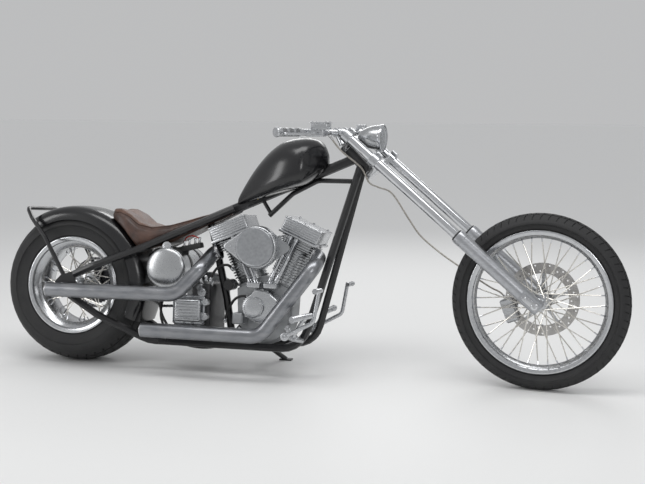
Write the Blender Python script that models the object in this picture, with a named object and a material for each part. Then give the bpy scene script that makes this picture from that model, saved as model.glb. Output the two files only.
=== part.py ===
"""A hardtail chopper motorcycle with a V-twin engine, parked on its side stand.

Metres, +Z up, +X towards the front wheel, +Y towards the rider's left.
The machine is modelled upright, with the ground line under the rear axle as its origin,
and one empty then leans it on its stand. A second empty turns the fork on its stem.
"""

import math

import bmesh
import bpy
from mathutils import Matrix, Vector

for old in list(bpy.data.objects):
    bpy.data.objects.remove(old, do_unlink=True)

# Driving dimensions: how it is parked
lean_angle = math.radians(7.0)
rest_steer = math.radians(6.8)
wheelbase = 1.966
touching_gap = 0.0003

# Wheels and tyres
rear_tyre_radius = 0.3285
rear_tyre_half_width = 0.115
rear_tyre_crown = 0.150
rear_rim_radius = 0.205
rear_rim_half_width = 0.100
front_tyre_radius = 0.348
front_tyre_half_width = 0.047
front_tyre_crown = 0.047
front_rim_radius = 0.2805
front_rim_half_width = 0.033
rim_wall = 0.006
rim_well_depth = 0.026
tyre_wall = 0.009
tyre_side_share = 0.42
tyre_tread_share = 0.90
tyre_arc_steps = 4
tyre_steps = 40
flat_down_share = 0.5
spoke_radius = 0.0022
spoke_count = 40
spoke_cross = math.radians(62.0)
spoke_head_offset = 0.0036
spoke_end_gap = 0.0007
front_spoke_spread = 0.002
rear_spoke_spread = 0.030
front_hub_half = 0.034
front_hub_end = 0.060
front_flange_radius = 0.036
rear_hub_half = 0.060
rear_hub_end = 0.098
rear_flange_radius = 0.048
hub_flange_width = 0.006
hub_waist_share = 0.60
hub_steps = 14
axle_radius = 0.010
running_gap = 0.0008
merge_distance = 0.000001

# Brakes and chain drive
disc_radius = 0.146
disc_inner_radius = 0.104
disc_width = 0.005
disc_y = 0.068
disc_steps = 24
disc_holes = 15
disc_hole_radius = 0.005
disc_pins = 5
disc_pin_radius = 0.0024
sprocket_radius = 0.088
sprocket_teeth = 36
tooth_height = 0.006
tooth_shares = ((0.0, 0.0), (0.35, 1.0), (0.65, 1.0))
sprocket_width = 0.007
sprocket_y = 0.140
sprocket_holes = 6
sprocket_hole_radius = 0.013
chain_pitch = 0.0159
chain_half_width = 0.011
chain_half_height = 0.0075
chain_waist_share = 0.78
chain_rear_radius = 0.107
chain_front_radius = 0.052
gearbox_shaft_share = (0.2645, 0.0, 0.3371)

# Frame
rail_radius = 0.016
backbone_radius = 0.021
gusset_radius = 0.010
strut_radius = 0.009
mount_strut_radius = 0.0085
axle_plate_y = 0.175
plate_width = 0.008
plate_reach = 0.045
# (forward, up) of the axle plate's corners
plate_shares = ((0.97, 1.43), (-0.27, 1.0), (-0.78, 0.45), (-0.85, -0.27), (-0.45, -0.8),
                (0.45, -0.9), (1.2, -0.7), (1.25, 0.83))
plate_ear_share = (1.11, 1.13)
rail_foot_share = (0.75, -0.85)
rail_straight = 0.100
rail_slope = math.radians(24.9)
rail_bend = 0.110
bend_step_angle = 16
frame_half_width = 0.175
frame_height = 0.890
# (of the wheelbase, of the half width, of the neck height)
lower_rail_share = 0.62
lower_rail_shares = ((0.081, 0.98, 0.240), (0.186, lower_rail_share, 0.127),
                     (0.524, lower_rail_share, 0.127), (0.6275, 0.16, 0.965))
top_rail_shares = ((0.168, 0.857, 0.557), (0.358, 0.245, 0.757))
backbone_share = (0.286, 0.0, 0.693)
backbone_join_share = 0.1
gusset_shares = ((0.430, 0.0, 0.730), (0.480, 0.0, 0.835), (0.535, 0.0, 0.899),
                 (0.618, 0.0, 0.899))
gusset_bend = 0.060
strut_top_share = (0.412, 0.0, 0.812)
strut_foot_share = (0.4335, 0.0, 0.739)
seat_post_shares = ((0.298, 0.0, 0.704), (0.340, 0.0, 0.337), (0.356, 0.0, 0.142))
front_crossbar_share = 0.478
mid_crossbar_share = 0.356
lower_rail_height = 0.127 * frame_height
lower_rail_y = lower_rail_share * frame_half_width
neck_x = 1.225
neck_middle = Vector((neck_x, 0.0, frame_height))
neck_rake = math.radians(45.0)
neck_length = 0.120
neck_radius = 0.030
stem_radius = 0.0125
hoop_foot_share = 0.75
# (forward, across, up) round the rear axle, as shares of the tyre's radius and the hoop's side
hoop_shares = ((-0.30, 1.0, 0.62), (-0.50, 0.96, 0.86), (-0.62, 0.75, 0.985))
hoop_bend = 0.030
nut_radius = 0.016
nut_height = 0.012
spacer_radius = 0.015

# Rear fender
fender_radius = 0.341
fender_wall = 0.003
fender_half_width = 0.1235
fender_drop = 0.060
fender_shoulder = 0.045
fender_crown = 0.003
fender_front = math.radians(-25.0)
fender_rear = math.radians(124.0)
fender_steps = 14

# Fork
fork_rake = math.radians(50.0)
fork_half_spacing = 0.115
fork_tube_radius = 0.0205
fork_length = 1.023
slider_radius = 0.029
slider_length = 0.400
slider_foot = 0.022
tube_depth = 0.060
cap_height = 0.014
cap_radius = 0.0225
cap_bevel = 0.004
collar_height = 0.030
collar_wall = 0.0012
flat_depth = 0.009
flat_length = 0.095
axle_head = 0.004
tree_thickness = 0.026
stem_boss_radius = 0.032
boss_proud = 0.001
clamp_length = 0.034
clamp_wall = 0.007
# (across, as a share of the leg spacing; ahead of the stem, as a share of the legs' lead)
tree_shares = ((-0.16, -0.35), (-0.50, 0.15), (-0.86, 0.72), (-0.86, 1.25), (-0.45, 1.05),
               (-0.22, 0.92))

# Fuel tank
tank_rear_x = 0.712
tank_length = 0.382
tank_half_width = 0.142
tank_low = 0.690
tank_height = 0.285
tunnel_gap = 0.0009
# (across, up) of a section below its widest line and above it
tank_lower_shares = ((0.0, 0.0), (0.72, 0.0), (0.93, 0.22), (1.0, 0.62), (1.0, 1.0))
tank_upper_shares = ((0.95, 0.42), (0.78, 0.76), (0.42, 0.96), (0.0, 1.0))
# (along, half width, low edge, widest line, top)
tank_row_shares = ((0.0, 0.14, 0.00, 0.06, 0.12), (0.08, 0.28, 0.03, 0.16, 0.31),
             (0.20, 0.48, 0.08, 0.28, 0.56), (0.34, 0.68, 0.13, 0.38, 0.78),
             (0.48, 0.84, 0.19, 0.45, 0.93), (0.60, 0.94, 0.24, 0.50, 0.99),
             (0.74, 1.00, 0.30, 0.54, 1.00), (0.80, 0.98, 0.33, 0.56, 1.00),
             (0.88, 0.74, 0.41, 0.60, 0.99), (0.95, 0.40, 0.50, 0.63, 0.92),
             (1.0, 0.10, 0.58, 0.66, 0.76))

# Oil drum
drum_share = (0.228, -0.077, 0.472)
drum_radius = 0.084
drum_half = 0.1315
drum_dome = 0.020
drum_dome_share = 0.30
drum_arm_length = 0.104
drum_arm_radius = 0.012
filler_inset = 0.045
filler_radius = 0.016
filler_height = 0.014

# Seat
seat_rear_x = 0.165
seat_length = 0.530
seat_half_width = 0.130
seat_low = 0.500
seat_rise = 0.165
# (across, up) of half a section, from the underside's middle to the top's middle
seat_section_shares = ((0.0, 0.0), (0.80, 0.0), (0.97, 0.25), (1.0, 0.55), (0.93, 0.85),
                       (0.75, 1.0), (0.0, 0.92))
# (along, half width, underside, top)
seat_row_shares = ((0.0, 0.55, 0.60, 0.90), (0.03, 0.78, 0.50, 0.96), (0.09, 0.92, 0.30, 0.95),
             (0.17, 1.0, 0.08, 0.82), (0.26, 1.0, -0.05, 0.60), (0.37, 0.98, 0.0, 0.50),
             (0.52, 0.88, 0.16, 0.56), (0.68, 0.68, 0.42, 0.72), (0.84, 0.48, 0.68, 0.90),
             (0.96, 0.36, 0.86, 1.03), (1.0, 0.28, 0.92, 1.02))

# Headlight
lamp_radius = 0.056
lamp_length = 0.108
lamp_wall = 0.002
lamp_tilt = math.radians(2.0)
lamp_reach = 0.896
lamp_out = 0.070
# (share of the radius, share of the length back from the face)
lamp_shares = ((0.95, 0.0), (1.0, 0.02), (1.0, 0.09), (0.93, 0.11), (0.90, 0.30), (0.78, 0.58),
               (0.58, 0.80), (0.36, 0.94), (0.0, 1.0))
lens_width = 0.0028
lens_inset = 0.0003
lens_shares = ((0.5, 0.75), (0.85, 0.25), (1.0, -0.2))
steer_stop = math.radians(30.0)

# Engine
crank_x = 0.855
crank_height = 0.214
cylinder_angle = math.radians(22.5)
cylinder_base = 0.178
deck_half = 0.060
cylinder_top = 0.330
head_top = 0.372
rocker_top = 0.440
cylinder_radius = 0.072
fin_count = 8
fin_share = 0.42
core_share = 0.86
head_fins = 3
head_length = 0.148
head_width = 0.150
rocker_length = 0.176
rocker_width = 0.185
rocker_rail = 0.012
rocker_step = 0.004
rocker_lean = 0.010
rocker_ribs = 4
rib_share = 0.62
rib_depth = 0.003
case_radius = 0.118
case_rise = 0.022
case_width = 0.124
case_edge = 0.010
exhaust_radius = 0.030
exhaust_wall = 0.002
mouth_depth = 0.060
port_y = 0.062
rear_port_y = 0.062
port_rise = 0.010
port_run = 0.030
front_pipe_shares = ((0.5600, -1.16, 0.511), (0.4527, -1.28, 0.189), (0.195, -1.28, 0.189))
front_pipe_bends = (0.027, 0.050, 0.080)
rear_pipe_shares = ((0.3150, -1.08, 0.480), (0.2710, -1.36, 0.359), (-0.0205, -1.36, 0.354))
rear_pipe_bends = (0.027, 0.040, 0.070)

# Air cleaner and intake
cleaner_ahead = 0.003
cleaner_out = 0.17325
cleaner_rise = 0.308
cleaner_radius = 0.087
cleaner_depth = 0.062
cleaner_tail = 0.140
tail_radius = 0.014
# (share of the depth, share of the outline)
cleaner_step_shares = ((0.0, 1.0), (0.45, 1.0), (0.75, 0.97), (0.92, 0.90), (1.0, 0.82))
backing_share = 0.93
backing_width = 0.012
inlet_radius = 0.023
inlet_height = 0.335
bowl_radius = 0.020
bowl_height = 0.045

# Timing case, its round cover and the oil pump
cam_back = 0.023
cam_rise = 0.062
cam_radius = 0.055
cam_belly = 0.028
cam_nose = 0.084
cam_nose_rise = 0.020
cam_nose_radius = 0.022
cam_depth = 0.070
cam_top_shares = ((0.95, 1.28), (0.0, 1.36))
cam_step_shares = ((0.0, 1.0), (0.62, 1.0), (0.90, 0.94), (1.0, 0.86))
points_radius = 0.043
points_depth = 0.014
pump_back = 0.094
pump_drop = -0.012
pump_size = 0.046
pump_depth = 0.070
pump_edge = 0.005

# Pushrod tubes
tappet_out = 0.036
tappet_half = 0.013
tappet_y = 0.096
tappet_rise = 0.150
tappet_width = 0.032
tappet_height = 0.020
pushrod_radius = 0.0085
pushrod_foot = 0.0110
pushrod_collar = 0.030
pushrod_half = 0.014
pushrod_in = 0.018
pushrod_top_y = 0.088
rocker_shift = 0.012

# Gearbox, behind the engine on a plate across the lower rails
bed_thickness = 0.008
# (low corner, high corner) of its castings, in the frame's shares
gearbox_shares = (((0.2543, -0.64, 0.1453), (0.3357, 0.64, 0.1543)),
                  ((0.2787, -0.5714, 0.1506), (0.3204, 0.56, 0.4045)),
                  ((0.2391, -0.56, 0.1528), (0.3052, 0.5486, 0.3371)),
                  ((0.2462, -0.8, 0.2281), (0.3072, -0.5143, 0.3337)))
gearbox_edge = 0.007
gearbox_ribs = 5
gearbox_rib_share = 0.50
gearbox_rib_depth = 0.010
gearbox_shaft_radius = 0.018
shaft_proud = 0.0006

# Open belt primary on the left
belt_y = 0.178
belt_width = 0.034
belt_thickness = 0.006
clutch_radius = 0.094
crank_pulley_radius = 0.058
belt_steps = 11
front_wrap_steps = 9
pulley_face = 0.006
# (share of the radius, share of the belt's width along the shaft)
clutch_shares = ((0.78, 0.0), (0.78, 0.29), (0.60, 0.41), (0.42, 0.41), (0.38, 0.18))
pulley_shares = ((0.80, 0.0), (0.72, 0.15), (0.40, 0.15), (0.36, 0.41))

# Brake calipers and the front brake's line
caliper_size = (0.052, 0.062, 0.095)
caliper_slot = 0.0165
caliper_reach = 0.006
caliper_angle = math.radians(61.0)
caliper_radius = 0.135
caliper_edge = 0.005
caliper_arm = (0.125, 0.014, 0.036)
caliper_arm_y = 0.0860
caliper_arm_shares = (0.55, 0.56)
rear_caliper_size = (0.062, 0.052, 0.074)
rear_caliper_place = (0.112, 0.012)
rear_arm = (0.075, 0.018, 0.038)
rear_arm_place = (0.0625, 0.004)
line_radius = 0.0035
line_bend = 0.040
line_shares = ((0.6017, -1.5314, 1.1146), (0.618, -1.2286, 1.0449), (0.6419, -0.6, 0.9685),
               (0.6526, -0.3429, 0.8989), (0.6592, 0.1143, 0.8742), (0.679, 0.5486, 0.8404),
               (0.7167, 0.5714, 0.7202), (0.7416, 0.5714, 0.6483), (0.7823, 0.5714, 0.5764),
               (0.8266, 0.56, 0.5135), (0.8876, 0.5371, 0.4326), (0.9105, 0.5371, 0.4090),
               (0.9288, 0.4800, 0.3787))

# Handlebar, its grips and the controls on it
bar_radius = 0.0127
bar_sides = 10
bar_bend = 0.060
grip_start = 0.016
riser_y = 0.048
riser_radius = 0.0115
grip_radius = 0.0165
grip_cap_radius = 0.0195
grip_cap = 0.010
grip_edge = 0.003
bar_shares = ((0.5799, 0.0, 1.1213), (0.5809, 0.8571, 1.1213), (0.5565, 1.7829, 1.1236))
grip_end_share = (0.5219, 2.4457, 1.1236)
# (low corner, high corner) of the castings round the right of the bar
master_shares = (((0.5565, -1.6686, 1.1056), (0.5941, -1.44, 1.1371)),
                 ((0.5687, -1.7143, 1.1348), (0.6033, -1.4057, 1.1685)))
perch_shares = (((0.5565, 1.4971, 1.1056), (0.5849, 1.6571, 1.1393)),
                ((0.5697, 1.4743, 1.1348), (0.591, 1.6686, 1.1618)))
casting_edge = 0.004
lever_radius = 0.0055
lever_bend = 0.030
lever_shares = ((0.5824, -1.5543, 1.1191), (0.5849, -1.7429, 1.118), (0.5626, -2.1143, 1.1169),
                (0.5422, -2.4686, 1.1169))

# Forward controls. The left ones mirror the right ones
control_arm_radius = 0.011
pedal_radius = 0.0085
pedal_flat_share = 0.60
peg_radius = 0.0125
peg_edge = 0.003
cylinder_barrel_radius = 0.014
control_arm_shares = ((0.527, -0.6571, 0.1685), (0.5097, -0.9143, 0.1798), (0.5092, -1.4057, 0.2045))
control_arm_bend = 0.030
pedal_shares = ((0.5086, -1.3486, 0.1978), (0.5656, -1.3486, 0.2674), (0.5763, -1.3486, 0.418))
pedal_bend = 0.030
pedal_peg_shares = ((0.5778, -1.2686, 0.409), (0.5778, -1.8171, 0.409))
foot_peg_shares = ((0.5422, -0.5486, 0.2831), (0.5351, -1.9143, 0.2831))
peg_strut_shares = ((0.5107, -0.9029, 0.1798), (0.5381, -0.9029, 0.2831))
brake_barrel_shares = ((0.5188, -0.8571, 0.1753), (0.4964, -0.8571, 0.2303))

# Side stand, hinged on a lug below the left lower rail
stand_radius = 0.0105
barrel_radius = 0.014
barrel_half = 0.015
pin_radius = 0.0055
pin_head_radius = 0.0095
pin_head = 0.005
lug_length = 0.018
lug_web_radius = 0.0078
stand_pad = (0.056, 0.030, 0.006)
pad_edge = 0.002
stow_way = Vector((-1.0, 0.05, 0.0))
stand_hinge_share = (0.3967, 0.8686, 0.1202)
stand_foot_share = (0.4451, 1.1971, 0.0)

# Small fittings
filler_cap_radius = 0.030
filler_cap_height = 0.016
filler_cap_edge = 0.004
filler_cap_grip_share = 0.80
filter_radius = 0.024
filter_bracket_radius = 0.007
lamp_post_radius = 0.010
cap_share = (0.501, 0.0, 1.0809)
filter_shares = ((0.3672, -0.4686, 0.4067), (0.3672, -0.8, 0.4067))
filter_foot_share = (0.3332, -0.0229, 0.4067)
lamp_post_ahead = 0.0417
lamp_post_back_share = 0.20
lamp_post_drop_share = 0.65


# Materials

def finish(name, colour, roughness, metallic):
    made = bpy.data.materials.new(name)
    made.use_nodes = True
    shader = made.node_tree.nodes["Principled BSDF"]
    shader.inputs["Base Color"].default_value = (*colour, 1.0)
    shader.inputs["Roughness"].default_value = roughness
    shader.inputs["Metallic"].default_value = metallic
    return made


finishes = {
    # name: colour, roughness, metallic
    "satin_black": ((0.012, 0.012, 0.013), 0.38, 0.0),
    "gloss_black": ((0.008, 0.008, 0.009), 0.12, 0.0),
    "tyre_rubber": ((0.020, 0.020, 0.021), 0.75, 0.0),
    "polished_alloy": ((0.80, 0.81, 0.82), 0.18, 1.0),
    "cast_alloy": ((0.62, 0.63, 0.65), 0.42, 1.0),
    "brushed_steel": ((0.55, 0.56, 0.58), 0.35, 1.0),
    "chrome": ((0.86, 0.87, 0.88), 0.05, 1.0),
    "brown_leather": ((0.060, 0.030, 0.022), 0.55, 0.0),
    "lens_glass": ((0.80, 0.84, 0.86), 0.05, 0.0),
    "dark_steel": ((0.10, 0.10, 0.11), 0.40, 1.0),
    "braided_line": ((0.65, 0.62, 0.58), 0.40, 0.5),
}


# Mesh helpers. Each shape function returns a closed bmesh

def facing_out(bm):
    bmesh.ops.recalc_face_normals(bm, faces=bm.faces)
    if bm.calc_volume(signed=True) < 0:
        bmesh.ops.reverse_faces(bm, faces=bm.faces)
    return bm


def rings_to_shell(rings, closed_loop=False):
    """Skins a list of rings of points. The ends are capped unless the rings run in a loop."""
    bm = bmesh.new()
    made = [[bm.verts.new(p) for p in ring] for ring in rings]
    pairs = list(zip(made, made[1:]))
    if closed_loop:
        pairs.append((made[-1], made[0]))
    for low, high in pairs:
        for i in range(len(low)):
            j = (i + 1) % len(low)
            bm.faces.new((low[i], low[j], high[j], high[i]))
    if not closed_loop:
        bm.faces.new(made[0])
        bm.faces.new(made[-1])
    return facing_out(bm)


def turned(profile, origin, axis, steps, start_share=0.0):
    """Turns a closed profile of (radius, place along the axis) round an axis."""
    bm = bmesh.new()
    turn = Vector((0, 0, 1)).rotation_difference(Vector(axis).normalized()).to_matrix()
    columns = []
    for radius, along in profile:
        if radius == 0:
            columns.append([bm.verts.new(turn @ Vector((0, 0, along)) + Vector(origin))])
            continue
        column = []
        for i in range(steps):
            angle = math.tau * (i + start_share) / steps
            point = Vector((radius * math.cos(angle), radius * math.sin(angle), along))
            column.append(bm.verts.new(turn @ point + Vector(origin)))
        columns.append(column)
    for low, high in zip(columns, columns[1:] + columns[:1]):
        if len(low) == 1 and len(high) == 1:
            continue
        for i in range(steps):
            j = (i + 1) % steps
            if len(low) == 1:
                bm.faces.new((low[0], high[j], high[i]))
            elif len(high) == 1:
                bm.faces.new((low[i], low[j], high[0]))
            else:
                bm.faces.new((low[i], low[j], high[j], high[i]))
    return facing_out(bm)


def rod(start, end, radius, sides=10, end_radius=None):
    """A round bar or cone between two points."""
    start, end = Vector(start), Vector(end)
    length = (end - start).length
    last = radius if end_radius is None else end_radius
    return turned([(0, 0), (radius, 0), (last, length), (0, length)], start, end - start, sides)


def rounded_path(corners, bend, steps=1):
    """Points along a path of straight runs with its corners rounded to arcs of one radius."""
    corners = [Vector(c) for c in corners]
    points = [corners[0]]
    bends = bend if isinstance(bend, tuple) else [bend] * len(corners)
    for before, corner, after, bend in zip(corners, corners[1:], corners[2:], bends):
        back = (before - corner).normalized()
        on = (after - corner).normalized()
        half = back.angle(on) / 2
        if half > math.radians(88):
            points.append(corner)
            continue
        cut = bend / math.tan(half)
        middle = corner + (back + on).normalized() * bend / math.sin(half)
        first = (corner + back * cut - middle).normalized()
        last = (corner + on * cut - middle).normalized()
        count = max(2, round(steps * (math.pi - 2 * half) / math.radians(bend_step_angle)))
        for i in range(count + 1):
            points.append(middle + first.slerp(last, i / count) * bend)
    points.append(corners[-1])
    return points


def sweep(points, radius, sides=10, flat=1.0):
    """A tube along points. Its rings are carried from one to the next without a twist."""
    points = [Vector(p) for p in points]
    rings = []
    tangent = (points[1] - points[0]).normalized()
    side = tangent.orthogonal().normalized()
    for i, point in enumerate(points):
        here = (points[min(i + 1, len(points) - 1)] - points[max(i - 1, 0)]).normalized()
        side = (side - here * side.dot(here)).normalized()
        other = here.cross(side)
        size = radius[i] if isinstance(radius, list) else radius
        ring = []
        for k in range(sides):
            angle = math.tau * k / sides
            ring.append(point + (side * math.cos(angle) + other * math.sin(angle) * flat) * size)
        rings.append(ring)
    return rings_to_shell(rings)


def slab(outline, thickness, origin=(0, 0, 0), across=(0, 1, 0), up=(0, 0, 1)):
    """An outline of (along, up) points, as thick as given across it and centred there."""
    across, up = Vector(across).normalized(), Vector(up).normalized()
    along = across.cross(up)
    rings = []
    for side in (-thickness / 2, thickness / 2):
        rings.append([Vector(origin) + along * u + up * v + across * side for u, v in outline])
    return rings_to_shell(rings)


def block(size, middle, turn=None):
    """A box of the given size at its middle, turned by a matrix."""
    bm = bmesh.new()
    bmesh.ops.create_cube(bm, size=1)
    place = Matrix.Translation(Vector(middle))
    if turn is not None:
        place = place @ turn.to_4x4()
    bmesh.ops.transform(bm, matrix=place @ Matrix.Diagonal((*size, 1)), verts=bm.verts)
    return bm


def softened(bm, width, segments=2, sharper_than=35):
    """Rounds the edges that turn by more than an angle."""
    limit = math.radians(sharper_than)
    edges = [e for e in bm.edges if e.is_manifold and e.calc_face_angle() > limit]
    bmesh.ops.bevel(bm, geom=edges, offset=width, segments=segments, affect="EDGES",
                    clamp_overlap=True)
    return bm


def circle_arc(centre, radius, start, end, steps):
    """Points (u, v) on an arc, with its angles in degrees."""
    found = []
    for i in range(steps + 1):
        angle = math.radians(start + (end - start) * i / steps)
        found.append((centre[0] + radius * math.cos(angle), centre[1] + radius * math.sin(angle)))
    return found


def as_object(name, bm):
    mesh = bpy.data.meshes.new(name)
    bm.to_mesh(mesh)
    bm.free()
    made = bpy.data.objects.new(name, mesh)
    bpy.context.scene.collection.objects.link(made)
    return made


def combined(name, base, others, operation):
    """One mesh from a Boolean of closed shapes, as an object."""
    body = as_object(name, base)
    for i, other in enumerate(others):
        tool = as_object(f"{name}_tool", other)
        tool.hide_render = True
        tool.display_type = "WIRE"
        change = body.modifiers.new("shape", "BOOLEAN")
        change.operation = operation
        change.solver = "EXACT"
        change.object = tool
        graph = bpy.context.evaluated_depsgraph_get()
        mesh = bpy.data.meshes.new_from_object(body.evaluated_get(graph))
        body.modifiers.clear()
        body.data = mesh
        bpy.data.objects.remove(tool, do_unlink=True)
    return body


def bmesh_of(body):
    """Takes an object's mesh back as a bmesh, and removes the object."""
    bm = bmesh.new()
    bm.from_mesh(body.data)
    bpy.data.objects.remove(body, do_unlink=True)
    return bm


def fused(shapes):
    """A union of closed shapes, as one bmesh."""
    return bmesh_of(combined("union", shapes[0], shapes[1:], "UNION"))


def cut(shape, cutters):
    return bmesh_of(combined("cut", shape, cutters, "DIFFERENCE"))


# The empties that lean, steer and turn the bodies

def empty(name, place, parent=None):
    made = bpy.data.objects.new(name, None)
    made.empty_display_size = axle_radius
    bpy.context.scene.collection.objects.link(made)
    made.location = place
    made.parent = parent
    return made


def axle_height(radius, half_width, crown, camber):
    """How high an axle stands when its wheel leans on the nearest edge of its tyre's crown."""
    step = 2 * math.asin(half_width * tyre_tread_share / crown) / tyre_arc_steps
    corner = round(camber / step) * step
    reach = (radius - crown + crown * math.cos(corner)) * math.cos(math.pi / tyre_steps)
    return reach * math.cos(camber) + crown * math.sin(corner) * math.sin(camber)


steer_axis = Vector((-math.sin(neck_rake), 0, math.cos(neck_rake)))
fork_up = Vector((-math.sin(fork_rake), 0, math.cos(fork_rake)))
fork_out = Vector((math.cos(fork_rake), 0, math.sin(fork_rake)))

# Where the axles are, so that both tyres touch the ground at the parked lean and steer
neck_forward = Vector((math.cos(neck_rake), 0, math.sin(neck_rake)))
steer_offset = (Vector((wheelbase, 0, front_tyre_radius)) - neck_middle).dot(neck_forward)
front_camber = math.asin(
    math.sin(lean_angle) * math.cos(rest_steer)
    - math.cos(lean_angle) * math.sin(rest_steer) * math.sin(neck_rake))
rear_axle_z = axle_height(
    rear_tyre_radius, rear_tyre_half_width, rear_tyre_crown, lean_angle) / math.cos(lean_angle)
front_axle_z = (
    (axle_height(front_tyre_radius, front_tyre_half_width, front_tyre_crown, front_camber)
     - steer_offset * math.sin(rest_steer) * math.sin(lean_angle)) / math.cos(lean_angle)
    + steer_offset * math.sin(neck_rake) * (1 - math.cos(rest_steer)))
rear_axle = Vector((0, 0, rear_axle_z))
front_axle = Vector((wheelbase, 0, front_axle_z))
left = Vector((0, 1, 0))
fork_top = front_axle + fork_up * fork_length


# Places on the frame are shares of the wheelbase, of its half width and of the neck's height
def at(x_share, y_share, z_share):
    return Vector((wheelbase * x_share, frame_half_width * y_share, frame_height * z_share))


def mirrored(point, side):
    """Moves a point on the machine's left to the given side: 1 is left and -1 right."""
    return Vector((point.x, point.y * side, point.z))


gearbox_shaft = at(*gearbox_shaft_share)

# The side stand turns on a pin below the left lower rail, square to its two end directions
stand_hinge = at(*stand_hinge_share)
stand_foot = Matrix.Rotation(lean_angle, 3, "X") @ at(*stand_foot_share)
stand_axis = (stand_foot - stand_hinge).cross(stow_way).normalized()

parked = Matrix.Rotation(-lean_angle, 3, "X") @ Matrix.Rotation(-rest_steer, 3, steer_axis)
lowered = parked.transposed() @ Vector((0, 0, 1))
machine = empty("machine", (0, 0, 0))
machine.rotation_euler = (-lean_angle, 0, 0)
steering = empty("steering", neck_middle, machine)
steering.rotation_mode = "QUATERNION"
steering.rotation_quaternion = Matrix.Rotation(-rest_steer, 3, steer_axis).to_quaternion()
front_turn = empty("front_turn", front_axle - neck_middle, steering)
# The turned fork tips the wheel a little, so it is rolled back until a flat is lowest
front_turn.rotation_euler = (0, math.atan2(lowered.x, lowered.z), 0)
rear_turn = empty("rear_turn", rear_axle, machine)
stand = empty("stand", stand_hinge, machine)
places = {"machine": Vector(), "steering": neck_middle, "front_turn": front_axle,
          "rear_turn": rear_axle, "stand": stand_hinge}


def part(name, bm, look, carrier="machine", smooth_below=35):
    """Hangs a shape, modelled in the upright machine's place, on the empty that carries it."""
    bmesh.ops.remove_doubles(bm, verts=bm.verts, dist=merge_distance)
    bmesh.ops.translate(bm, verts=bm.verts, vec=-places[carrier])
    made = as_object(name, bm)
    made.parent = bpy.data.objects[carrier]
    colour, roughness, metallic = finishes[look]
    made.data.materials.clear()
    made.data.materials.append(finish(name, colour, roughness, metallic))
    made.data.shade_smooth()
    made.data.set_sharp_from_angle(angle=math.radians(smooth_below))
    return made


# Tyres: the crown is an arc, the sides bulge past the flanges, and the inside is hollow

def tyre(centre, radius, half_width, crown, rim_radius, rim_half_width):
    bead = rim_radius - 2 * rim_wall + touching_gap
    bead_y = rim_half_width - rim_wall - touching_gap
    side = rim_radius + (radius - rim_radius) * tyre_side_share
    crown_angle = math.asin(half_width * tyre_tread_share / crown)
    section = [(bead, -bead_y), (rim_radius + rim_wall, -bead_y), (side, -half_width)]
    for i in range(tyre_arc_steps + 1):
        angle = crown_angle * (2 * i / tyre_arc_steps - 1)
        section.append((radius - crown + crown * math.cos(angle), crown * math.sin(angle)))
    section += [(side, half_width), (rim_radius + rim_wall, bead_y), (bead, bead_y)]
    inner_y = half_width - tyre_wall
    section += [(bead, bead_y - tyre_wall), (side, inner_y), (radius - tyre_wall * 2, 0),
                (side, -inner_y), (bead, tyre_wall - bead_y)]
    return turned(section, centre, left, tyre_steps, flat_down_share)


def rim(centre, rim_radius, half_width, well):
    """A drop-centre rim of one wall: flanges, bead seats and a well for the spokes."""
    seat = rim_radius - 2 * rim_wall
    low = seat - well
    seat_y = half_width - rim_wall - tyre_wall * 2
    well_y = seat_y - well / 2
    top = [(rim_radius, -half_width), (rim_radius, rim_wall - half_width),
           (seat, rim_wall - half_width), (low, -well_y)]
    under = [(low - rim_wall, -well_y), (seat - rim_wall, -half_width)]
    section = top + [(r, -y) for r, y in reversed(top)]
    section += [(r, -y) for r, y in reversed(under)] + under
    return turned(section, centre, left, tyre_steps, flat_down_share), low - rim_wall


def wire_wheel(centre, inner_radius, rim_spread, hub_half, flange, ends):
    """A spool hub with its crossed spokes, whose nipples stop at the rim."""
    waist = flange * hub_waist_share
    flange_y = hub_half - hub_flange_width
    section = [(axle_radius + running_gap, -ends[0]), (waist, -ends[0]), (waist, -hub_half),
               (flange, -hub_half), (flange, -flange_y), (waist, -flange_y + hub_flange_width),
               (waist, flange_y - hub_flange_width), (flange, flange_y), (flange, hub_half),
               (waist, hub_half), (waist, ends[1]), (axle_radius + running_gap, ends[1])]
    shapes = [turned(section, centre, left, hub_steps)]
    # The rim is a polygon with a flat face over every spoke
    reach = inner_radius * math.cos(math.pi / tyre_steps) - spoke_end_gap
    hole = flange - hub_flange_width
    step = math.tau / spoke_count
    spokes = bmesh.new()
    for side in (-1, 1):
        for lead in (-1, 1):
            # One spoke of a crossing pair leaves the flange's outer face and one its inner face
            head_y = side * ((hub_half + flange_y) / 2 + lead * spoke_head_offset)
            for i in range(spoke_count // 4):
                at = 4 * i * step + (lead + 1) * step / 2 + (step if side > 0 else -step)
                from_angle = at - lead * spoke_cross
                start = Vector((hole * math.cos(from_angle), head_y, hole * math.sin(from_angle)))
                end = Vector((reach * math.cos(at), side * rim_spread, reach * math.sin(at)))
                join_into(spokes, sweep([centre + start, centre + end], spoke_radius, 3))
    return fused(shapes + [spokes])


def join_into(target, bm):
    """Copies one bmesh into another, with nothing merged."""
    mesh = bpy.data.meshes.new("joined")
    bm.to_mesh(mesh)
    bm.free()
    target.from_mesh(mesh)
    bpy.data.meshes.remove(mesh)


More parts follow.
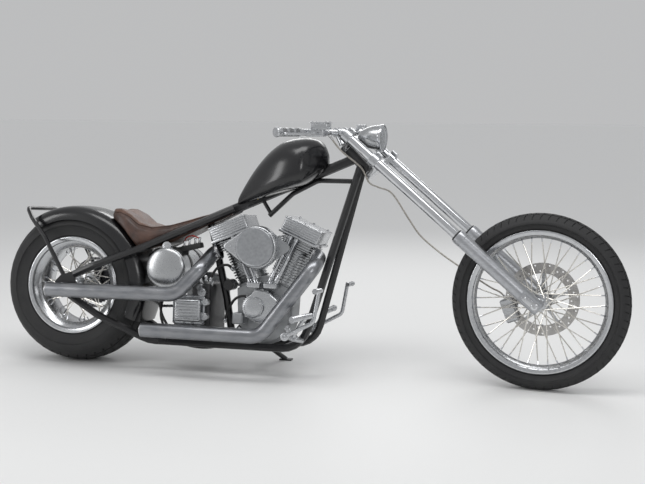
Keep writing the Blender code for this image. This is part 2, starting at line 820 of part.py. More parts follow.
front_rim_shape, front_well = rim(front_axle, front_rim_radius, front_rim_half_width,
                                  rim_well_depth / 2)
rear_rim_shape, rear_well = rim(rear_axle, rear_rim_radius, rear_rim_half_width, rim_well_depth)
part("front_tyre", tyre(front_axle, front_tyre_radius, front_tyre_half_width, front_tyre_crown,
                        front_rim_radius, front_rim_half_width), "tyre_rubber", "front_turn")
part("front_rim", front_rim_shape, "polished_alloy", "front_turn")
part("front_spokes", wire_wheel(front_axle, front_well, front_spoke_spread, front_hub_half,
                                front_flange_radius, (front_hub_end, front_hub_end)),
     "brushed_steel", "front_turn")
part("rear_tyre", tyre(rear_axle, rear_tyre_radius, rear_tyre_half_width, rear_tyre_crown,
                       rear_rim_radius, rear_rim_half_width), "tyre_rubber", "rear_turn")
part("rear_rim", rear_rim_shape, "polished_alloy", "rear_turn")
part("rear_spokes", wire_wheel(rear_axle, rear_well, rear_spoke_spread, rear_hub_half,
                               rear_flange_radius, (rear_hub_end, sprocket_y - sprocket_width)),
     "brushed_steel", "rear_turn")


# Brake disc, sprocket and axles

def perforated_disc(centre, outer, inner, width, holes, hole_radius):
    """A disc with a ring of drilled holes."""
    ring = turned([(inner, -width / 2), (outer, -width / 2), (outer, width / 2),
                   (inner, width / 2)], centre, left, disc_steps)
    drills = bmesh.new()
    for i in range(holes):
        angle = math.tau * i / holes
        reach = (outer + inner) / 2 + (outer - inner) / 5 * (1 if i % 2 else -1)
        at = centre + Vector((reach * math.cos(angle), 0, reach * math.sin(angle)))
        join_into(drills, rod(at - left * width, at + left * width, hole_radius, 6))
    return cut(ring, [drills])


def toothed_disc(centre, pitch_radius, teeth, width, bore):
    """A sprocket: rounded teeth round a disc, with lightening holes between its arms."""
    outline = []
    for i in range(teeth):
        for at, reach in tooth_shares:
            angle = math.tau * (i + at) / teeth
            radius = pitch_radius + tooth_height * reach
            outline.append((radius * math.cos(angle), radius * math.sin(angle)))
    plate = slab(outline, width, centre)
    cutters = [rod(centre - left * width, centre + left * width, bore, hub_steps)]
    holes = bmesh.new()
    for i in range(sprocket_holes):
        angle = math.tau * i / sprocket_holes
        reach = (pitch_radius + bore) / 2
        at = centre + Vector((reach * math.cos(angle), 0, reach * math.sin(angle)))
        join_into(holes, rod(at - left * width, at + left * width, sprocket_hole_radius, 6))
    return cut(plate, cutters + [holes])


disc_centre = front_axle + left * disc_y
carrier = turned([(axle_radius + running_gap, -disc_width / 2),
                  (disc_inner_radius - disc_width, -disc_width / 2),
                  (disc_inner_radius - disc_width, disc_width / 2),
                  (axle_radius + running_gap, disc_width / 2)], disc_centre, left, hub_steps)
pins = bmesh.new()
for i in range(disc_pins):
    angle = math.tau * i / disc_pins
    way = Vector((math.cos(angle), 0, math.sin(angle)))
    join_into(pins, sweep([disc_centre + way * (disc_inner_radius - disc_width * 2),
                           disc_centre + way * (disc_inner_radius + disc_width)],
                          disc_pin_radius, 4))
part("front_disc", fused([perforated_disc(disc_centre, disc_radius, disc_inner_radius, disc_width,
                                          disc_holes, disc_hole_radius), carrier, pins]),
     "brushed_steel", "front_turn")
sprocket_centre = rear_axle + left * sprocket_y
part("rear_sprocket", toothed_disc(sprocket_centre, sprocket_radius, sprocket_teeth,
                                   sprocket_width, axle_radius + running_gap),
     "dark_steel", "rear_turn")


# Frame. Places are shares of the wheelbase, of the frame's half width and of its neck height

neck_low = neck_middle - steer_axis * neck_length / 2
neck_high = neck_middle + steer_axis * neck_length / 2
backbone_start = at(*backbone_share)
backbone_end = neck_middle + steer_axis * neck_length * backbone_join_share


def backbone_tube(grow):
    longer = (backbone_end - backbone_start).normalized() * grow
    return rod(backbone_start - longer, backbone_end + longer, backbone_radius + grow, 10)


def seat_post_tube(grow):
    path = rounded_path([at(*share) for share in seat_post_shares], gusset_bend)
    longer = (path[0] - path[1]).normalized() * grow * 2
    return sweep([path[0] + longer] + path[1:], rail_radius + grow, 9)


def neck_tube(grow):
    way = steer_axis * grow
    return rod(neck_low - way, neck_high + way, neck_radius + grow, 16)


gusset = sweep(rounded_path([at(*share) for share in gusset_shares], gusset_bend), gusset_radius, 8)
mount_strut = rod(at(*strut_top_share), at(*strut_foot_share), mount_strut_radius, 6)
stem_bore = rod(neck_low + (neck_low - neck_high), neck_high + (neck_high - neck_low),
                stem_radius + running_gap, 12)
spine = fused([neck_tube(0), backbone_tube(0), gusset, mount_strut, seat_post_tube(0)])
part("backbone", cut(spine, [stem_bore]), "satin_black")


def lower_rail_tube(side, grow):
    outer = axle_plate_y * side
    corners = [rear_axle + Vector((plate_reach * rail_foot_share[0], outer, plate_reach * rail_foot_share[1]))]
    corners += [mirrored(at(*share), side) for share in lower_rail_shares]
    return sweep(rounded_path(corners, rail_bend), rail_radius + grow, 8)


def top_rail_path(side):
    """From the axle plate's ear straight on, then in to the backbone."""
    way = Vector((math.cos(rail_slope), 0, math.sin(rail_slope)))
    ear = Vector((plate_ear_share[0] * plate_reach, axle_plate_y * side, plate_ear_share[1] * plate_reach))
    start = rear_axle + ear + way * touching_gap
    corners = [start, start + way * rail_straight]
    corners += [mirrored(at(*share), side) for share in top_rail_shares]
    return rounded_path(corners, rail_bend)


def stand_lug():
    """The lug and its headed pin, which pass through the stand's barrel."""
    base = stand_hinge - stand_axis * (barrel_half + running_gap)
    head = stand_hinge + stand_axis * (barrel_half + running_gap)
    rail = Vector((stand_hinge.x, lower_rail_y, lower_rail_height))
    middle = base - stand_axis * lug_length / 2
    return [rod(base - stand_axis * lug_length, base, barrel_radius, 10),
            rod(middle, head + stand_axis * pin_head / 2, pin_radius, 8),
            rod(head, head + stand_axis * pin_head, pin_head_radius, 8),
            rod(middle, rail, lug_web_radius, 6)]


for side, name in ((-1, "right"), (1, "left")):
    outer = axle_plate_y * side
    plate = slab([(plate_reach * u, plate_reach * v) for u, v in plate_shares], plate_width,
                 rear_axle + left * outer)
    bore = rod(rear_axle + left * (outer - plate_width), rear_axle + left * (outer + plate_width),
               axle_radius + touching_gap, 16)
    lower = [lower_rail_tube(side, 0)]
    if side > 0:
        lower += stand_lug()
    else:
        # The right rail carries both crossbars, which stop at the left one
        for share in (front_crossbar_share, mid_crossbar_share):
            middle = Vector((wheelbase * share, 0, lower_rail_height))
            lower.append(rod(middle - left * lower_rail_y,
                             middle + left * (lower_rail_y - rail_radius - touching_gap),
                             gusset_radius, 8))
    part(f"{name}_lower_rail",
         cut(fused([plate] + lower), [bore, neck_tube(touching_gap), backbone_tube(touching_gap)]),
         "satin_black")
    upper = sweep(top_rail_path(side), rail_radius, 8)
    part(f"{name}_top_rail", cut(upper, [backbone_tube(touching_gap)]), "satin_black")

# A hoop that carries the fender, from the axle plates up and over it
hoop_side = axle_plate_y - plate_width / 2 - strut_radius - touching_gap
hoop = [rear_axle + Vector((0, hoop_side, plate_reach * hoop_foot_share))]
hoop += [rear_axle + Vector((rear_tyre_radius * x, hoop_side * y, rear_tyre_radius * z))
         for x, y, z in hoop_shares]
hoop += [mirrored(p, -1) for p in reversed(hoop)]
part("fender_strut", sweep(rounded_path(hoop, hoop_bend), strut_radius, 6), "satin_black")


# The fender: one wall with a crowned top and deep sides, bent round the tyre

def fender_section(reach, half_width, drop, shoulder):
    """(y, radius) points across the fender, from the right edge to the left one."""
    side = [(-half_width, reach - drop)]
    side += [(-y, r) for y, r in circle_arc((half_width - shoulder, reach - shoulder), shoulder,
                                            0, 90, 3)]
    crown = reach + fender_crown
    return side + [(0, crown)] + [(-y, r) for y, r in reversed(side)]


outer_section = fender_section(fender_radius, fender_half_width, fender_drop, fender_shoulder)
inner_section = fender_section(fender_radius - fender_wall, fender_half_width - fender_wall,
                               fender_drop - fender_wall, fender_shoulder - fender_wall)
rings = []
for i in range(fender_steps + 1):
    angle = fender_front + (fender_rear - fender_front) * i / fender_steps
    way = Vector((math.cos(angle), 0, math.sin(angle)))
    ring = [rear_axle + way * r + left * y for y, r in outer_section]
    ring += [rear_axle + way * r + left * y for y, r in reversed(inner_section)]
    rings.append(ring)
part("rear_fender", rings_to_shell(rings), "gloss_black")

# Rear axle: a bar through both plates, with a nut at each end
nut_y = axle_plate_y + plate_width / 2 + touching_gap
spacer_end = axle_plate_y - plate_width / 2 - touching_gap
right_end = rear_hub_end + running_gap
left_end = sprocket_y + sprocket_width / 2 + running_gap
axle_section = [(0, -nut_y - nut_height), (nut_radius, -nut_y - nut_height), (nut_radius, -nut_y),
                (axle_radius, -nut_y), (axle_radius, -spacer_end), (spacer_radius, -spacer_end),
                (spacer_radius, -right_end), (axle_radius, -right_end), (axle_radius, left_end),
                (spacer_radius, left_end), (spacer_radius, spacer_end), (axle_radius, spacer_end),
                (axle_radius, nut_y), (nut_radius, nut_y), (nut_radius, nut_y + nut_height),
                (0, nut_y + nut_height)]
part("rear_axle", turned(axle_section, rear_axle, left, 10), "brushed_steel")



# The fork stands on the steering empty, modelled straight ahead

def fork_point(reach, side_y=0.0, out=0.0):
    """A point at a distance up the fork's legs from the axle, across, and ahead of the legs."""
    return front_axle + fork_up * reach + fork_out * out + left * side_y


stem_low = neck_low - steer_axis * (touching_gap + tree_thickness / 2)
stem_high = neck_high + steer_axis * (touching_gap + tree_thickness / 2)


def leg_reach(point):
    return (point - front_axle).dot(fork_up)


def fork_tree(middle):
    """A forged bridge: a boss on the stem, two arms, and a clamp round each tube."""
    reach = leg_reach(middle)
    ahead = (front_axle - middle).dot(fork_out)
    outline = [(y * fork_half_spacing, x * ahead) for y, x in tree_shares]
    outline += [(-u, v) for u, v in reversed(outline)]
    bridge = slab(outline, tree_thickness - boss_proud * 2, middle, steer_axis, neck_forward)
    boss = rod(middle - steer_axis * tree_thickness / 2, middle + steer_axis * tree_thickness / 2,
               stem_boss_radius, 16)
    shapes = [bridge, boss]
    cutters = []
    for side in (-1, 1):
        low = fork_point(reach - clamp_length / 2, side * fork_half_spacing)
        high = fork_point(reach + clamp_length / 2, side * fork_half_spacing)
        shapes.append(rod(low, high, fork_tube_radius + clamp_wall, 12))
        way = fork_up * clamp_length
        cutters.append(rod(low - way, high + way, fork_tube_radius + touching_gap, 14))
    return cut(fused(shapes), cutters)


stem = rod(stem_low, stem_high - steer_axis * (tree_thickness / 2 + touching_gap), stem_radius, 12)
part("lower_tree", fused([fork_tree(stem_low), stem]), "polished_alloy", "steering")
part("upper_tree", fork_tree(stem_high), "polished_alloy", "steering")

for side, name in ((-1, "right"), (1, "left")):
    y = side * fork_half_spacing
    top = fork_length
    tube = turned([(0, slider_length - tube_depth), (fork_tube_radius, slider_length - tube_depth),
                   (fork_tube_radius, top - cap_height), (cap_radius, top - cap_height),
                   (cap_radius, top - cap_bevel), (cap_radius - cap_bevel, top), (0, top)],
                  front_axle + left * y, fork_up, 14)
    part(f"{name}_fork_tube", tube, "chrome", "steering")
    well = slider_length - tube_depth - touching_gap
    section = [(0, -slider_foot), (slider_radius - cap_bevel, -slider_foot),
               (slider_radius, cap_bevel - slider_foot), (slider_radius, slider_length - collar_height),
               (slider_radius + collar_wall, slider_length - collar_height),
               (slider_radius + collar_wall, slider_length - cap_bevel),
               (slider_radius, slider_length),
               (fork_tube_radius + touching_gap, slider_length),
               (fork_tube_radius + touching_gap, well), (0, well)]
    slider = turned(section, front_axle + left * y, fork_up, 14)
    flat = block((slider_radius * 2, flat_depth * 2, flat_length),
                 fork_point(flat_length / 2 - slider_foot - cap_bevel, y + side * slider_radius),
                 Matrix.Rotation(-fork_rake, 3, "Y"))
    bore = rod(fork_point(0, y - slider_radius * 2), fork_point(0, y + slider_radius * 2),
               axle_radius + touching_gap, 10)
    part(f"{name}_slider", cut(slider, [flat, bore]), "brushed_steel", "steering")

end_y = fork_half_spacing + slider_radius - flat_depth + touching_gap
spacer_end = fork_half_spacing - slider_radius - touching_gap
right_end = front_hub_end + running_gap
left_end = disc_y + disc_width / 2 + running_gap
front_axle_section = [(0, -end_y - axle_head), (nut_radius, -end_y - axle_head),
                      (nut_radius, -end_y), (axle_radius, -end_y), (axle_radius, -spacer_end),
                      (spacer_radius, -spacer_end), (spacer_radius, -right_end),
                      (axle_radius, -right_end), (axle_radius, left_end),
                      (spacer_radius, left_end), (spacer_radius, spacer_end),
                      (axle_radius, spacer_end), (axle_radius, end_y), (nut_radius, end_y),
                      (nut_radius, end_y + axle_head), (0, end_y + axle_head)]
part("front_axle", turned(front_axle_section, front_axle, left, 10), "brushed_steel", "steering")


def line_tube(grow):
    path = rounded_path([at(*share) for share in line_shares], line_bend)
    path[0] += (path[0] - path[1]).normalized() * grow
    path[-1] += (path[-1] - path[-2]).normalized() * grow
    return sweep(path, line_radius + grow, 5)


# Headlight: a spun bullet shell with a glass front, on a post from the lower tree
lamp_way = Vector((math.cos(lamp_tilt), 0, -math.sin(lamp_tilt)))
lamp_face = front_axle + fork_up * lamp_reach + fork_out * lamp_out
shell = [(r * lamp_radius, -s * lamp_length) for r, s in lamp_shares]
shell.append((0, lamp_wall * 2 - lamp_length))
shell += [(r * lamp_radius - lamp_wall, -s * lamp_length + lamp_wall)
          for r, s in reversed(lamp_shares[1:-1])]
shell.append((lamp_shares[0][0] * lamp_radius - lamp_wall, 0))
tree_face = stem_low + steer_axis * (tree_thickness / 2 - boss_proud + touching_gap)
tree_room = slab([(-tree_thickness, -tree_thickness), (tree_thickness * 4, -tree_thickness),
                  (tree_thickness * 4, 0), (-tree_thickness, 0)], fork_half_spacing, tree_face,
                 left, steer_axis)
post_top = (lamp_face - lamp_way * lamp_length * lamp_post_back_share
            - Vector((0, 0, lamp_radius * lamp_post_drop_share)))
post = rod(stem_low + neck_forward * lamp_post_ahead, post_top, lamp_post_radius, 10)
part("headlight", cut(fused([turned(shell, lamp_face, lamp_way, 18), post]), [tree_room]),
     "polished_alloy", "steering")
glass_radius = lamp_shares[0][0] * lamp_radius - lamp_wall - touching_gap
glass = [(0, lens_width)] + [(glass_radius * r, lens_width * h) for r, h in lens_shares]
glass += [(glass_radius, -lens_width), (0, -lens_width)]
part("headlight_lens", turned(glass, lamp_face - lamp_way * lens_inset, lamp_way, 18),
     "lens_glass", "steering")


# Engine: a V-twin whose cylinders lean apart from one crank
crank = Vector((crank_x, 0, crank_height))


def cylinder_way(side):
    """The direction up a cylinder: side is 1 for the front one and -1 for the rear one."""
    return Vector((side * math.sin(cylinder_angle), 0, math.cos(cylinder_angle)))


def cylinder_out(side):
    """Square to a cylinder, towards the open side of the V's end."""
    return Vector((side * math.cos(cylinder_angle), 0, -math.sin(cylinder_angle)))


def finned(low, high, core, fin, fins, way, origin, steps):
    """A turned barrel with a stack of cooling fins."""
    pitch = (high - low) / fins
    section = [(0, low)]
    for i in range(fins):
        base = low + pitch * i
        section += [(core, base), (core, base + pitch * (1 - fin_share)),
                    (fin, base + pitch * (1 - fin_share)), (fin, base + pitch)]
    section[-1] = (fin, high)
    section.append((0, high))
    return turned(section, origin, way, steps)


case_outline = circle_arc((0, case_rise), case_radius, 190, 350, 10)
deck = cylinder_way(1) * (cylinder_base - touching_gap)
for reach in (1, -1):
    corner = deck + cylinder_out(1) * deck_half * reach
    case_outline.append((corner.x, corner.z))
case_outline += [(-u, v) for u, v in reversed(case_outline[-2:])]
case = slab(case_outline, case_width, crank)
part("crankcase", softened(case, case_edge), "cast_alloy")

def head_block(side, length, width, grow, lift=0.0, height=None):
    """A block square to a cylinder, centred in its head."""
    out = cylinder_out(side) * side
    turn = Matrix((out, left, out.cross(left))).transposed()
    middle = crank + cylinder_way(side) * ((head_top + cylinder_top) / 2 + lift)
    height = head_top - cylinder_top - touching_gap * 2 if height is None else height
    return block((length + grow * 2, width + grow * 2, height + grow * 2), middle, turn)


for side, name in ((-1, "rear"), (1, "front")):
    way = cylinder_way(side)
    out = cylinder_out(side)
    barrel = finned(cylinder_base, cylinder_top, cylinder_radius * core_share, cylinder_radius,
                    fin_count, way, crank, 16)
    part(f"{name}_cylinder", barrel, "cast_alloy")
    head_height = head_top - cylinder_top - touching_gap * 2
    shapes = [head_block(side, head_length * core_share, head_width * core_share, 0)]
    for i in range(head_fins):
        shapes.append(head_block(side, head_length, head_width, 0,
                                 head_height * ((i + 0.5) / head_fins - 0.5),
                                 head_height / head_fins * fin_share))
    part(f"{name}_head", fused(shapes), "cast_alloy")
    # The rocker box: a ribbed lid with a lower rail, its long side level with the head
    half_long = rocker_length / 2
    profile = [(half_long, 0), (half_long, rocker_rail), (half_long - rocker_step, rocker_rail)]
    height = rocker_top - head_top - touching_gap
    ribs = rocker_ribs
    for i in range(ribs):
        base = rocker_rail + (height - rocker_rail) * i / ribs
        rise = (height - rocker_rail) / ribs
        inset = rocker_step + rocker_lean * (i + 1) / ribs
        profile += [(half_long - inset, base + rise * rib_share),
                    (half_long - inset - rib_depth, base + rise)]
    outline = profile + [(-u, v) for u, v in reversed(profile)]
    seat_point = crank + way * (head_top + touching_gap)
    part(f"{name}_rocker_box", slab(outline, rocker_width, seat_point - left * rocker_shift, left,
                                    way), "polished_alloy")


# Fuel tank: sections lofted along the backbone, with a slot that lets it straddle the tube

def tank_ring(x_share, half_share, low_share, side_share, top_share):
    """One section: flat keel, rounded sides and a crowned top, as points across the machine."""
    x = tank_rear_x + tank_length * x_share
    half = tank_half_width * half_share
    low = tank_low + tank_height * low_share
    side = tank_low + tank_height * side_share
    top = tank_low + tank_height * top_share
    right = [(half * y, low + (side - low) * z) for y, z in tank_lower_shares]
    right += [(half * y, side + (top - side) * z) for y, z in tank_upper_shares]
    ring = [Vector((x, -y, z)) for y, z in right]
    ring += [Vector((x, y, z)) for y, z in reversed(right)]
    return ring


tank = rings_to_shell([tank_ring(*row) for row in tank_row_shares])
slope = (backbone_end - backbone_start).normalized()
slot_half = backbone_radius + tunnel_gap
above = slope.cross(left)
slot_outline = circle_arc((0, 0), slot_half, 0, 180, 8)
slot_outline += [(-slot_half, -tank_height), (slot_half, -tank_height)]
tunnel = slab(slot_outline, tank_length * 4, (backbone_start + backbone_end) / 2, slope, above)
cap_place = at(*cap_share)
cap_seat = rod(cap_place, cap_place + Vector((0, 0, tank_height)),
               filler_cap_radius + touching_gap * 2, 18)
part("fuel_tank", cut(tank, [tunnel, cap_seat]), "satin_black")

# Oil drum: a lateral cylinder with domed ends, its filler neck on top
drum = at(*drum_share)
drum_section = [(0, -drum_half)]
drum_section += [(drum_radius * (1 - drum_dome_share + drum_dome_share * u),
                  -drum_half + drum_dome * (1 - v)) for u, v in circle_arc((0, 0), 1, 90, 0, 3)]
drum_section += [(r, -y) for r, y in reversed(drum_section)]
neck_place = drum + Vector((0, -drum_half + filler_inset, 0))
filler = rod(neck_place, neck_place + Vector((0, 0, drum_radius + filler_height)),
             filler_radius, 10)
arm = rod(drum, drum + Vector((drum_radius + drum_arm_length, -drum.y, 0)), drum_arm_radius, 10)
part("oil_drum", cut(fused([turned(drum_section, drum, left, 20), filler, arm]),
                     [seat_post_tube(touching_gap)]), "cast_alloy")


# Seat: a leather saddle lofted from its nose back, dipping and then kicked up on the fender

def seat_ring(x_share, half_share, low_share, top_share):
    x = seat_rear_x + seat_length * x_share
    half = seat_half_width * half_share
    low = seat_low + seat_rise * low_share
    top = seat_low + seat_rise * top_share
    right = [(half * y, low + (top - low) * z) for y, z in seat_section_shares]
    ring = [Vector((x, -y, z)) for y, z in right]
    ring += [Vector((x, y, z)) for y, z in reversed(right)]
    return ring


seat_floor = fender_radius + fender_crown + fender_wall / 3
saddle = rings_to_shell([seat_ring(*row) for row in seat_row_shares])
tyre_room = turned([(0, -seat_half_width * 2), (seat_floor, -seat_half_width * 2),
                    (seat_floor, seat_half_width * 2), (0, seat_half_width * 2)],
                   rear_axle, left, 96)
rail_room = bmesh.new()
for side in (-1, 1):
    join_into(rail_room, sweep(top_rail_path(side), rail_radius + touching_gap, 8))
part("seat", cut(saddle, [tyre_room, rail_room, backbone_tube(touching_gap),
                          seat_post_tube(touching_gap)]), "brown_leather")


# Exhausts: two pipes that bend back along the right side, open at their ends

def pipe(corners, bend, name):
    path = rounded_path(corners, bend)
    outside = sweep(path, exhaust_radius, 12)
    mouth = path[-1] + (path[-1] - path[-2]).normalized() * exhaust_wall
    inside = sweep([path[-1] + (path[-2] - path[-1]).normalized() * mouth_depth, mouth],
                   exhaust_radius - exhaust_wall, 12)
    part(name, cut(outside, [inside]), "brushed_steel")


def head_place(side, forward, across, up):
    """A place on a head: along its end's way out, across the machine, and up the cylinder."""
    return (crank + cylinder_way(side) * (cylinder_top + up) + cylinder_out(side) * forward
            + left * across)


port_gap = head_length / 2 + touching_gap
for side, y, shares, bends, name in (
        (1, port_y, front_pipe_shares, front_pipe_bends, "front_exhaust"),
        (-1, rear_port_y, rear_pipe_shares, rear_pipe_bends, "rear_exhaust")):
    port = [head_place(side, port_gap, -y, port_rise),
            head_place(side, port_gap + port_run, -y, port_rise)]
    pipe(port + [at(*share) for share in shares], bends, name)

# Air cleaner: a round dished cover that runs out to a point behind, on the intake
cleaner = crank + Vector((cleaner_ahead, -cleaner_out, cleaner_rise))
cleaner_tangent = math.degrees(
    math.acos((tail_radius - cleaner_radius) / (cleaner_tail - tail_radius)))
outline = circle_arc((0, 0), cleaner_radius, -cleaner_tangent, cleaner_tangent, 14)
outline += circle_arc((-cleaner_tail + tail_radius, 0), tail_radius, cleaner_tangent,
                      360 - cleaner_tangent, 4)
rings = []
for depth, grow in cleaner_step_shares:
    rings.append([cleaner + Vector((u * grow, -cleaner_depth * depth, v * grow))
                  for u, v in outline])
part("air_cleaner", rings_to_shell(rings), "polished_alloy")
backing = slab([(-u * backing_share, v * backing_share) for u, v in outline], backing_width,
               cleaner + left * (backing_width / 2 + touching_gap))
inlet_end = cleaner + left * (backing_width + touching_gap * 2)
trumpet = rod(inlet_end - left * backing_width / 2, crank + Vector((0, 0, inlet_height)),
              inlet_radius, 14)
bowl = rod(inlet_end + Vector((0, bowl_radius, -bowl_height)), inlet_end + left * bowl_radius,
           bowl_radius, 14)
hub = crank + Vector((0, 0, inlet_height))
shapes = [backing, trumpet, bowl]
for side in (-1, 1):
    shapes.append(rod(hub, head_place(side, -head_length * core_share / 2, 0, port_rise),
                      inlet_radius * core_share, 12))
fins_room = []
for side in (-1, 1):
    fins_room.append(head_block(side, head_length, head_width, touching_gap))
    way = cylinder_way(side)
    fins_room.append(rod(crank + way * deck_half, crank + way * (cylinder_top + touching_gap),
                         cylinder_radius + touching_gap, 20))
part("carburettor", cut(fused(shapes), fins_room), "cast_alloy")

# Timing case on the right of the crankcase, with its round cover
case_face = -case_width / 2 - touching_gap
cam_middle = crank + Vector((-cam_back, 0, cam_rise))
cam_outline = circle_arc((0, 0), cam_radius, 110, 240, 6)
cam_outline += circle_arc((cam_belly, -cam_belly / 2), cam_radius, 250, 310, 3)
cam_outline += circle_arc((cam_nose, cam_nose_rise), cam_nose_radius, -50, 55, 4)
cam_outline += [(cam_radius * u, cam_radius * v) for u, v in cam_top_shares]
rings = []
for depth, grow in cam_step_shares:
    rings.append([cam_middle + Vector((u * grow, case_face - cam_depth * depth, v * grow))
                  for u, v in cam_outline])
cover_y = case_face - cam_depth
cover = [(0, cover_y + points_depth), (points_radius, cover_y + points_depth),
         (points_radius, cover_y - points_depth * rib_share),
         (points_radius * core_share, cover_y - points_depth), (0, cover_y - points_depth)]
cover = turned(cover, Vector((cam_middle.x, 0, cam_middle.z)), left, 20)
part("cam_cover", fused([rings_to_shell(rings), cover]), "polished_alloy")
pump_middle = crank + Vector((-pump_back, case_face - pump_depth / 2, -pump_drop))
part("oil_pump", softened(block((pump_size, pump_depth, pump_size), pump_middle), pump_edge, 1),
     "cast_alloy")

# Pushrod tubes: a splayed pair for each cylinder, from the timing case to its rocker box
for side, name in ((-1, "rear"), (1, "front")):
    tubes = []
    for reach in (-1, 1):
        foot = crank + Vector((side * tappet_out + reach * tappet_half, -tappet_y, tappet_rise))
        head = head_place(side, reach * side * pushrod_half - pushrod_in, -pushrod_top_y,
                          head_top - cylinder_top - touching_gap * 2)
        way = (head - foot).normalized()
        tubes.append(turned([(0, 0), (pushrod_foot, 0), (pushrod_foot, pushrod_collar),
                             (pushrod_radius, pushrod_collar),
                             (pushrod_radius, (head - foot).length), (0, (head - foot).length)],
                            foot, way, 8))
    tappet = block((tappet_half * 4, tappet_width, tappet_height),
                   crank + Vector((side * tappet_out, -tappet_y, tappet_rise)))
    part(f"{name}_pushrods", fused([tappet] + tubes), "chrome")


# Gearbox, on its bed plate, with the sprocket that drives the chain

def between(low, high):
    """A box between two corners given in the frame's shares."""
    low, high = at(*low), at(*high)
    size = [abs(b - a) for a, b in zip(low, high)]
    return block(size, (low + high) / 2)


shapes = [softened(between(low, high), gearbox_edge, 1) for low, high in gearbox_shares[1:]]
shapes.insert(0, between(*gearbox_shares[0]))
low, high = at(*gearbox_shares[-1][0]), at(*gearbox_shares[-1][1])
pitch = (high.z - low.z - gearbox_edge * 2) / gearbox_ribs
for i in range(gearbox_ribs):
    size = (high.x - low.x - gearbox_edge * 2, gearbox_rib_depth * 2, pitch * gearbox_rib_share)
    middle = ((low.x + high.x) / 2, low.y, low.z + gearbox_edge + pitch * (i + gearbox_rib_share))
    shapes.append(block(size, middle))
shaft = gearbox_shaft + left * at(*gearbox_shares[1][1]).y
sprocket_face = gearbox_shaft + left * (sprocket_y + sprocket_width / 2)
drive_radius = ((chain_front_radius - chain_half_height) * math.cos(math.pi / front_wrap_steps / 2)
                - touching_gap)
drive = rod(sprocket_face - left * sprocket_width, sprocket_face, drive_radius, 18)
shapes += [rod(shaft - left * gearbox_edge, sprocket_face + left * shaft_proud,
               gearbox_shaft_radius, 10), drive]
part("transmission", fused(shapes), "cast_alloy")


def loop_outline(first, first_radius, second, second_radius, steps):
    """(forward, up) points of a belt run round two circles, the first one behind."""
    run = second - first
    base = math.degrees(math.atan2(run.z, run.x))
    lap = math.degrees(math.acos((first_radius - second_radius) / run.length))
    found = circle_arc((first.x, first.z), first_radius, base + lap, base + 360 - lap, steps)
    return found + circle_arc((second.x, second.z), second_radius, base - lap, base + lap, steps)


# Primary drive: a toothed belt from the crank's pulley back to the clutch
def belt_slab(grow, width):
    outline = loop_outline(gearbox_shaft, clutch_radius + grow, crank, crank_pulley_radius + grow,
                           belt_steps)
    return slab(outline, width, left * belt_y)


belt = cut(belt_slab(0, belt_width), [belt_slab(-belt_thickness, belt_width * 2)])
face = belt_width / 2 + pulley_face
wheel_overlap = belt_thickness / 2
shapes = [belt]
for centre, radius, shares, start_y in (
        (gearbox_shaft, clutch_radius, clutch_shares,
         sprocket_y + sprocket_width / 2 + shaft_proud + touching_gap),
        (crank, crank_pulley_radius, pulley_shares, case_width / 2 + touching_gap)):
    section = [(0, -belt_width / 2 - pulley_face), (radius - wheel_overlap, -face),
               (radius - wheel_overlap, face)]
    section += [(radius * r, face + belt_width * y) for r, y in shares]
    section.append((0, face + belt_width * shares[-1][1]))
    shapes.append(turned(section, centre + left * belt_y, left, 18))
    shapes.append(rod(centre + left * start_y, centre + left * belt_y, gearbox_shaft_radius, 10))
part("primary_drive", fused(shapes), "cast_alloy")

# Final chain: a fixed loop whose section swells at every other pin
outline = loop_outline(rear_axle, chain_rear_radius, gearbox_shaft, chain_front_radius,
                       front_wrap_steps * 2)
outline.append(outline[0])
spans = [math.dist(a, b) for a, b in zip(outline, outline[1:])]
rings_wanted = 2 * round(sum(spans) / chain_pitch / 2)
stops = []
for i in range(rings_wanted):
    away = sum(spans) * i / rings_wanted
    k = 0
    while away > spans[k]:
        away -= spans[k]
        k += 1
    share = away / spans[k]
    stops.append([a + (b - a) * share for a, b in zip(outline[k], outline[k + 1])])
rings = []
for i, (x, z) in enumerate(stops):
    before, after = stops[i - 1], stops[(i + 1) % len(stops)]
    along = Vector((after[0] - before[0], 0, after[1] - before[1])).normalized()
    rise = along.cross(left)
    swell_share = 1 if i % 2 == 0 else chain_waist_share
    middle = Vector((x, sprocket_y, z))
    rings.append([middle + left * chain_half_width * u * swell_share
                  + rise * chain_half_height * v * swell_share
                  for u, v in ((-1, -1), (1, -1), (1, 1), (-1, 1))])
part("final_chain", rings_to_shell(rings, closed_loop=True), "dark_steel")

# Calipers: the front one behind the left leg, the rear one over the sprocket's front edge
radial = fork_up * math.cos(caliper_angle) - fork_out * math.sin(caliper_angle)
turn = Matrix((radial, left, radial.cross(left))).transposed()
centre = front_axle + left * disc_y + radial * caliper_radius
body = softened(block(caliper_size, centre, turn), caliper_edge, 1)
arm_centre = fork_point(caliper_radius * caliper_arm_shares[0], caliper_arm_y,
                        -caliper_radius * caliper_arm_shares[1])
arm = block(caliper_arm, arm_centre, Matrix((fork_out, left, -fork_up)).transposed())
disc_room = turned([(0, -caliper_slot / 2), (disc_radius + caliper_reach, -caliper_slot / 2),
                    (disc_radius + caliper_reach, caliper_slot / 2), (0, caliper_slot / 2)],
                   disc_centre, left, 24)
leg_room = rod(fork_point(-slider_foot, fork_half_spacing),
               fork_point(slider_length, fork_half_spacing), slider_radius + touching_gap, 14)
part("front_caliper", cut(fused([body, arm]), [disc_room, leg_room, line_tube(touching_gap)]),
     "polished_alloy", "steering")
part("brake_line", line_tube(0), "braided_line", "steering")
forward, up = rear_caliper_place
body = softened(block(rear_caliper_size, rear_axle + Vector((forward, sprocket_y, up))),
                caliper_edge, 1)
forward, up = rear_arm_place
arm_y = axle_plate_y - plate_width / 2 - touching_gap - rear_arm[1] / 2
